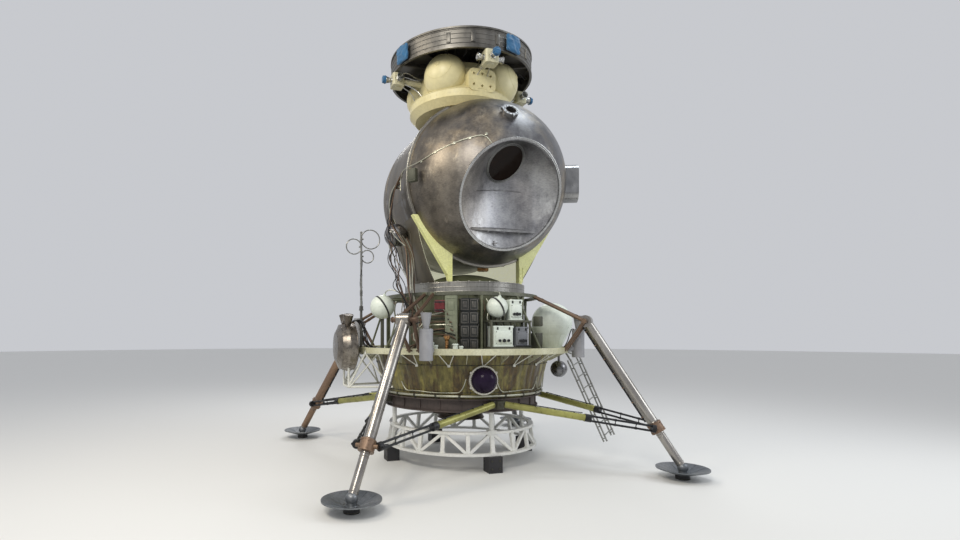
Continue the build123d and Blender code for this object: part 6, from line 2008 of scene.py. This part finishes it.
class LANDER_OT_docking(bpy.types.Operator):
    """Add the docking ring's hoops, bolts and clips and the honeycomb plate's rim screws"""

    bl_idname = "lander.docking"
    bl_label = "Docking ring fittings"

    def execute(self, context):
        bm, plate, cables = meshes(3)
        for z, tube in ((5.005, 0.005), (5.06, 0.004), (5.115, 0.004), (5.165, 0.005)):
            hoop(bm, (0, 0, z), UP, RING_OUTER, tube, 180)
        rim_bolts(bm, spread(72), RING_OUTER, (4.985, 5.145), sizes().rivet, 0.004)
        for azimuth in spread(24, 4):
            block(bm, facing(azimuth, 0.915, 4.955), (0.03, 0.03, 0.008), 0.002)
        clips = (-32, -14, 5, 38, 75, 110, 160, 200, 240, 290)
        for azimuth in clips:
            block(bm, facing(azimuth, RING_OUTER + 0.004, 5.075), (0.012, 0.05, 0.12), 0.004)
        rim_bolts(bm, clips, RING_OUTER + 0.01, (5.03, 5.12), 0.006, 0.005)
        piece("docking_hoops", bm, "docking_grey")

        rim_bolts(plate, spread(36, 5), 0.888, (5.194,), 0.0045, 0.003, 8, up=True)
        for azimuth in spread(12):
            for radius in (0.4, 0.6, 0.8):
                block(plate, facing(azimuth, radius, 5.128), (0.07, 0.05, 0.008), 0.002)
            bar(plate, polar(azimuth, 0.27, 5.08), polar(azimuth, 0.88, 5.08), 0.009, sides=8)
        hoop(plate, (0, 0, 5.03), UP, 0.25, 0.008, 72)
        piece("plate_screws", plate, "plate_grey")

        # Turn, radius and height of each point of a cable
        rows = (
            (0, 0.6, 5.0),
            (4, 0.68, 5.04),
            (2, 0.76, 5.02),
            (8, 0.84, 4.99),
            (14, 0.885, 5.01),
            (20, 0.89, 5.05),
        )
        for azimuth in (-20, 60, 130, 220, 320):
            hose(cables, [polar(azimuth + turn, radius, z) for turn, radius, z in rows], 0.007, resolution=6)
        piece("ring_cables", cables, "damper_black")
        return {"FINISHED"}


class LANDER_OT_covers(bpy.types.Operator):
    """Add the blue cloth covers on the docking ring and the thrusters"""

    bl_idname = "lander.covers"
    bl_label = "Cloth covers"

    def ring_cover(self, azimuth):
        """Crumpled square of padded cloth on the docking ring."""
        bm = bmesh.new()
        block(bm, Matrix(), (0.044, 0.215, 0.2), 0.016, 3)
        bmesh.ops.subdivide_edges(bm, edges=bm.edges[:], cuts=11, use_grid_fill=True)
        for vert in bm.verts:
            x, y, z = vert.co
            crown = max(0, 1 - (y / 0.125) ** 2) * max(0, 1 - (z / 0.115) ** 2)
            fold = noise.turbulence(Vector((azimuth, y * 16 + z * 9, z * 20)), 4, True)
            edge = noise.noise(Vector((azimuth, math.atan2(z, y) * 1.6, 3)))
            if x > 0:
                vert.co.x = x * (0.3 + 0.7 * crown) + 0.022 * (fold - 0.35)
            vert.co.y *= 1 + 0.16 * edge
            vert.co.z *= 1 + 0.1 * edge
        place = facing(azimuth + 18, 0.93 + 0.023, 5.065)
        bmesh.ops.transform(bm, matrix=place, verts=bm.verts)
        return bm

    def thruster_cover(self, azimuth):
        """Cap of gathered cloth, tied over a thruster's mouth."""
        bm = bmesh.new()
        bmesh.ops.create_cone(bm, cap_ends=True, segments=32, radius1=0.05, radius2=0.044, depth=0.04)
        bmesh.ops.subdivide_edges(bm, edges=bm.edges[:], cuts=4, use_grid_fill=True)
        for vert in bm.verts:
            angle = math.atan2(vert.co.y, vert.co.x)
            gather = math.cos(9 * angle + 2 * noise.noise(vert.co * 30))
            tuck = 0.0035 * gather * (0.5 + vert.co.z * 12)
            flat = Vector((vert.co.x, vert.co.y, 0))
            if flat.length > 0.012:
                vert.co += flat.normalized() * (tuck - 0.002)
            vert.co.z += 0.002 * noise.noise(vert.co * 60)
        start = polar(azimuth, THRUSTER_PLACE + 0.075 + 0.0806, THRUSTER_Z)
        place = aimed(start + polar(azimuth, 0.02, 0), outward(azimuth))
        bmesh.ops.transform(bm, matrix=place, verts=bm.verts)
        hoop(bm, start + polar(azimuth, 0.008, 0), outward(azimuth), 0.0495, 0.0025, 40)
        return bm

    def execute(self, context):
        noise.seed_set(sizes().seed + 3)
        for kind, make in (("ring", self.ring_cover), ("thruster", self.thruster_cover)):
            for azimuth in SIDES:
                name = f"{kind}_cover_{azimuth}"
                cover = piece(name, make(azimuth), "cover_blue", replaces=("nozzle_covers",), angle=80)
        return {"FINISHED"}


class LANDER_OT_mast(bpy.types.Operator):
    """Add the mast's coils, ties and lead, and its foot's bolts"""

    bl_idname = "lander.mast"
    bl_label = "Mast fittings"

    def execute(self, context):
        bm, lead, feet = meshes(3)
        axis = Vector((MAST_X, MAST_Y, 0))
        for z in (2.05, 2.2, 2.35, 2.5, 2.65, 2.8):
            collar(bm, axis + UP * z, UP, 0.013, 0.014, 0.003, 16)
        for index in range(18):
            hoop(bm, axis + UP * (2.09 + index * 0.0042), UP, 0.016, 0.0022, 16, 6)
        for height, side in ((0.76, -1), (0.86, 1), (0.64, 1)):
            spot = axis + UP * (1.95 + height)
            start = spot - Vector((side * 0.004, 0, 0))
            bar(bm, start, spot + Vector((side * 0.03, 0, 0)), 0.012, 0.009, 16)
            hoop(bm, spot + Vector((side * 0.028, 0, 0)), (1, 0, 0), 0.009, 0.002, 16)
        ball(bm, axis + UP * 2.893, 0.0155)
        piece("mast_coils", bm, "mast_silver", body="mast")

        route = [axis + UP * 1.975 + Vector((0.0155, 0.008, 0))]
        for step in range(14):
            lean = 0.0145 if step % 2 else 0.0165
            angle = step * 0.7
            turn = Vector((lean * math.cos(angle), lean * math.sin(angle), 2.0 + step * 0.06))
            route.append(axis + turn)
        hose(lead, route, 0.0035, resolution=4)
        piece("mast_lead", lead, "damper_black", body="mast")

        foot = axis + UP * PLATFORM_TOP
        bar(feet, foot, foot + UP * 0.01, 0.026, sides=24)
        for z in (1.46, 1.62, 1.78):
            collar(feet, axis + UP * z, UP, 0.016, 0.016, 0.003, 20)
        for side in (-1, 1):
            end = foot + Vector((0.075, side * 0.05, 0.004))
            bar(feet, foot + Vector((0, side * 0.02, 0.12)), end, 0.0045, sides=8)
            boss(feet, (MAST_X, MAST_Y + side * 0.034, 1.95), (0, side, 0), 0.013, 0.008)
        piece("mast_foot", feet, "mast_dark")
        return {"FINISHED"}


# Panel


STEPS = (
    LANDER_OT_stage,
    LANDER_OT_finishes,
    LANDER_OT_stand,
    LANDER_OT_skirt,
    LANDER_OT_platform,
    LANDER_OT_frame,
    LANDER_OT_legs,
    LANDER_OT_braces,
    LANDER_OT_motors,
    LANDER_OT_ladder,
    LANDER_OT_radar,
    LANDER_OT_rocket,
    LANDER_OT_bay,
    LANDER_OT_boxes,
    LANDER_OT_wiring,
    LANDER_OT_tanks,
    LANDER_OT_pack,
    LANDER_OT_cabin,
    LANDER_OT_window,
    LANDER_OT_hatch,
    LANDER_OT_support,
    LANDER_OT_attitude,
    LANDER_OT_docking,
    LANDER_OT_covers,
    LANDER_OT_mast,
)


class LANDER_PT_pieces(bpy.types.Panel):
    """Lists the lander's settings and the steps that build it"""

    bl_idname = "LANDER_PT_pieces"
    bl_label = "Lunar Lander"
    bl_space_type = "VIEW_3D"
    bl_region_type = "UI"
    bl_category = "Lander"

    def draw(self, context):
        scene = context.scene
        for group in (scene.lander_colours, scene.lander_sizes, scene.lander_stage):
            box = self.layout.box()
            for name in type(group).__annotations__:
                box.prop(group, name)
        for step in STEPS:
            self.layout.operator(step.bl_idname)


CLASSES = (LanderColours, LanderSizes, LanderStage, *STEPS, LANDER_PT_pieces)


def register():
    """Register the classes and hang the properties on the scene."""
    for cls in CLASSES:
        bpy.utils.register_class(cls)
    bpy.types.Scene.lander_colours = PointerProperty(type=LanderColours)
    bpy.types.Scene.lander_sizes = PointerProperty(type=LanderSizes)
    bpy.types.Scene.lander_stage = PointerProperty(type=LanderStage)


def unregister():
    """Take the properties off the scene and unregister the classes."""
    del bpy.types.Scene.lander_stage
    del bpy.types.Scene.lander_sizes
    del bpy.types.Scene.lander_colours
    for cls in reversed(CLASSES):
        bpy.utils.unregister_class(cls)


def main():
    """Build the dressed lander."""
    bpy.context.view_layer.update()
    register()
    bpy.ops.lander.stage()
    bpy.ops.lander.finishes()
    bpy.ops.lander.stand()
    bpy.ops.lander.skirt()
    bpy.ops.lander.platform()
    bpy.ops.lander.frame()
    bpy.ops.lander.legs()
    bpy.ops.lander.braces()
    bpy.ops.lander.motors()
    bpy.ops.lander.ladder()
    bpy.ops.lander.radar()
    bpy.ops.lander.rocket()
    bpy.ops.lander.bay()
    bpy.ops.lander.boxes()
    bpy.ops.lander.wiring()
    bpy.ops.lander.tanks()
    bpy.ops.lander.pack()
    bpy.ops.lander.cabin()
    bpy.ops.lander.window()
    bpy.ops.lander.hatch()
    bpy.ops.lander.support()
    bpy.ops.lander.attitude()
    bpy.ops.lander.docking()
    bpy.ops.lander.covers()
    bpy.ops.lander.mast()


if __name__ == "__main__":
    main()
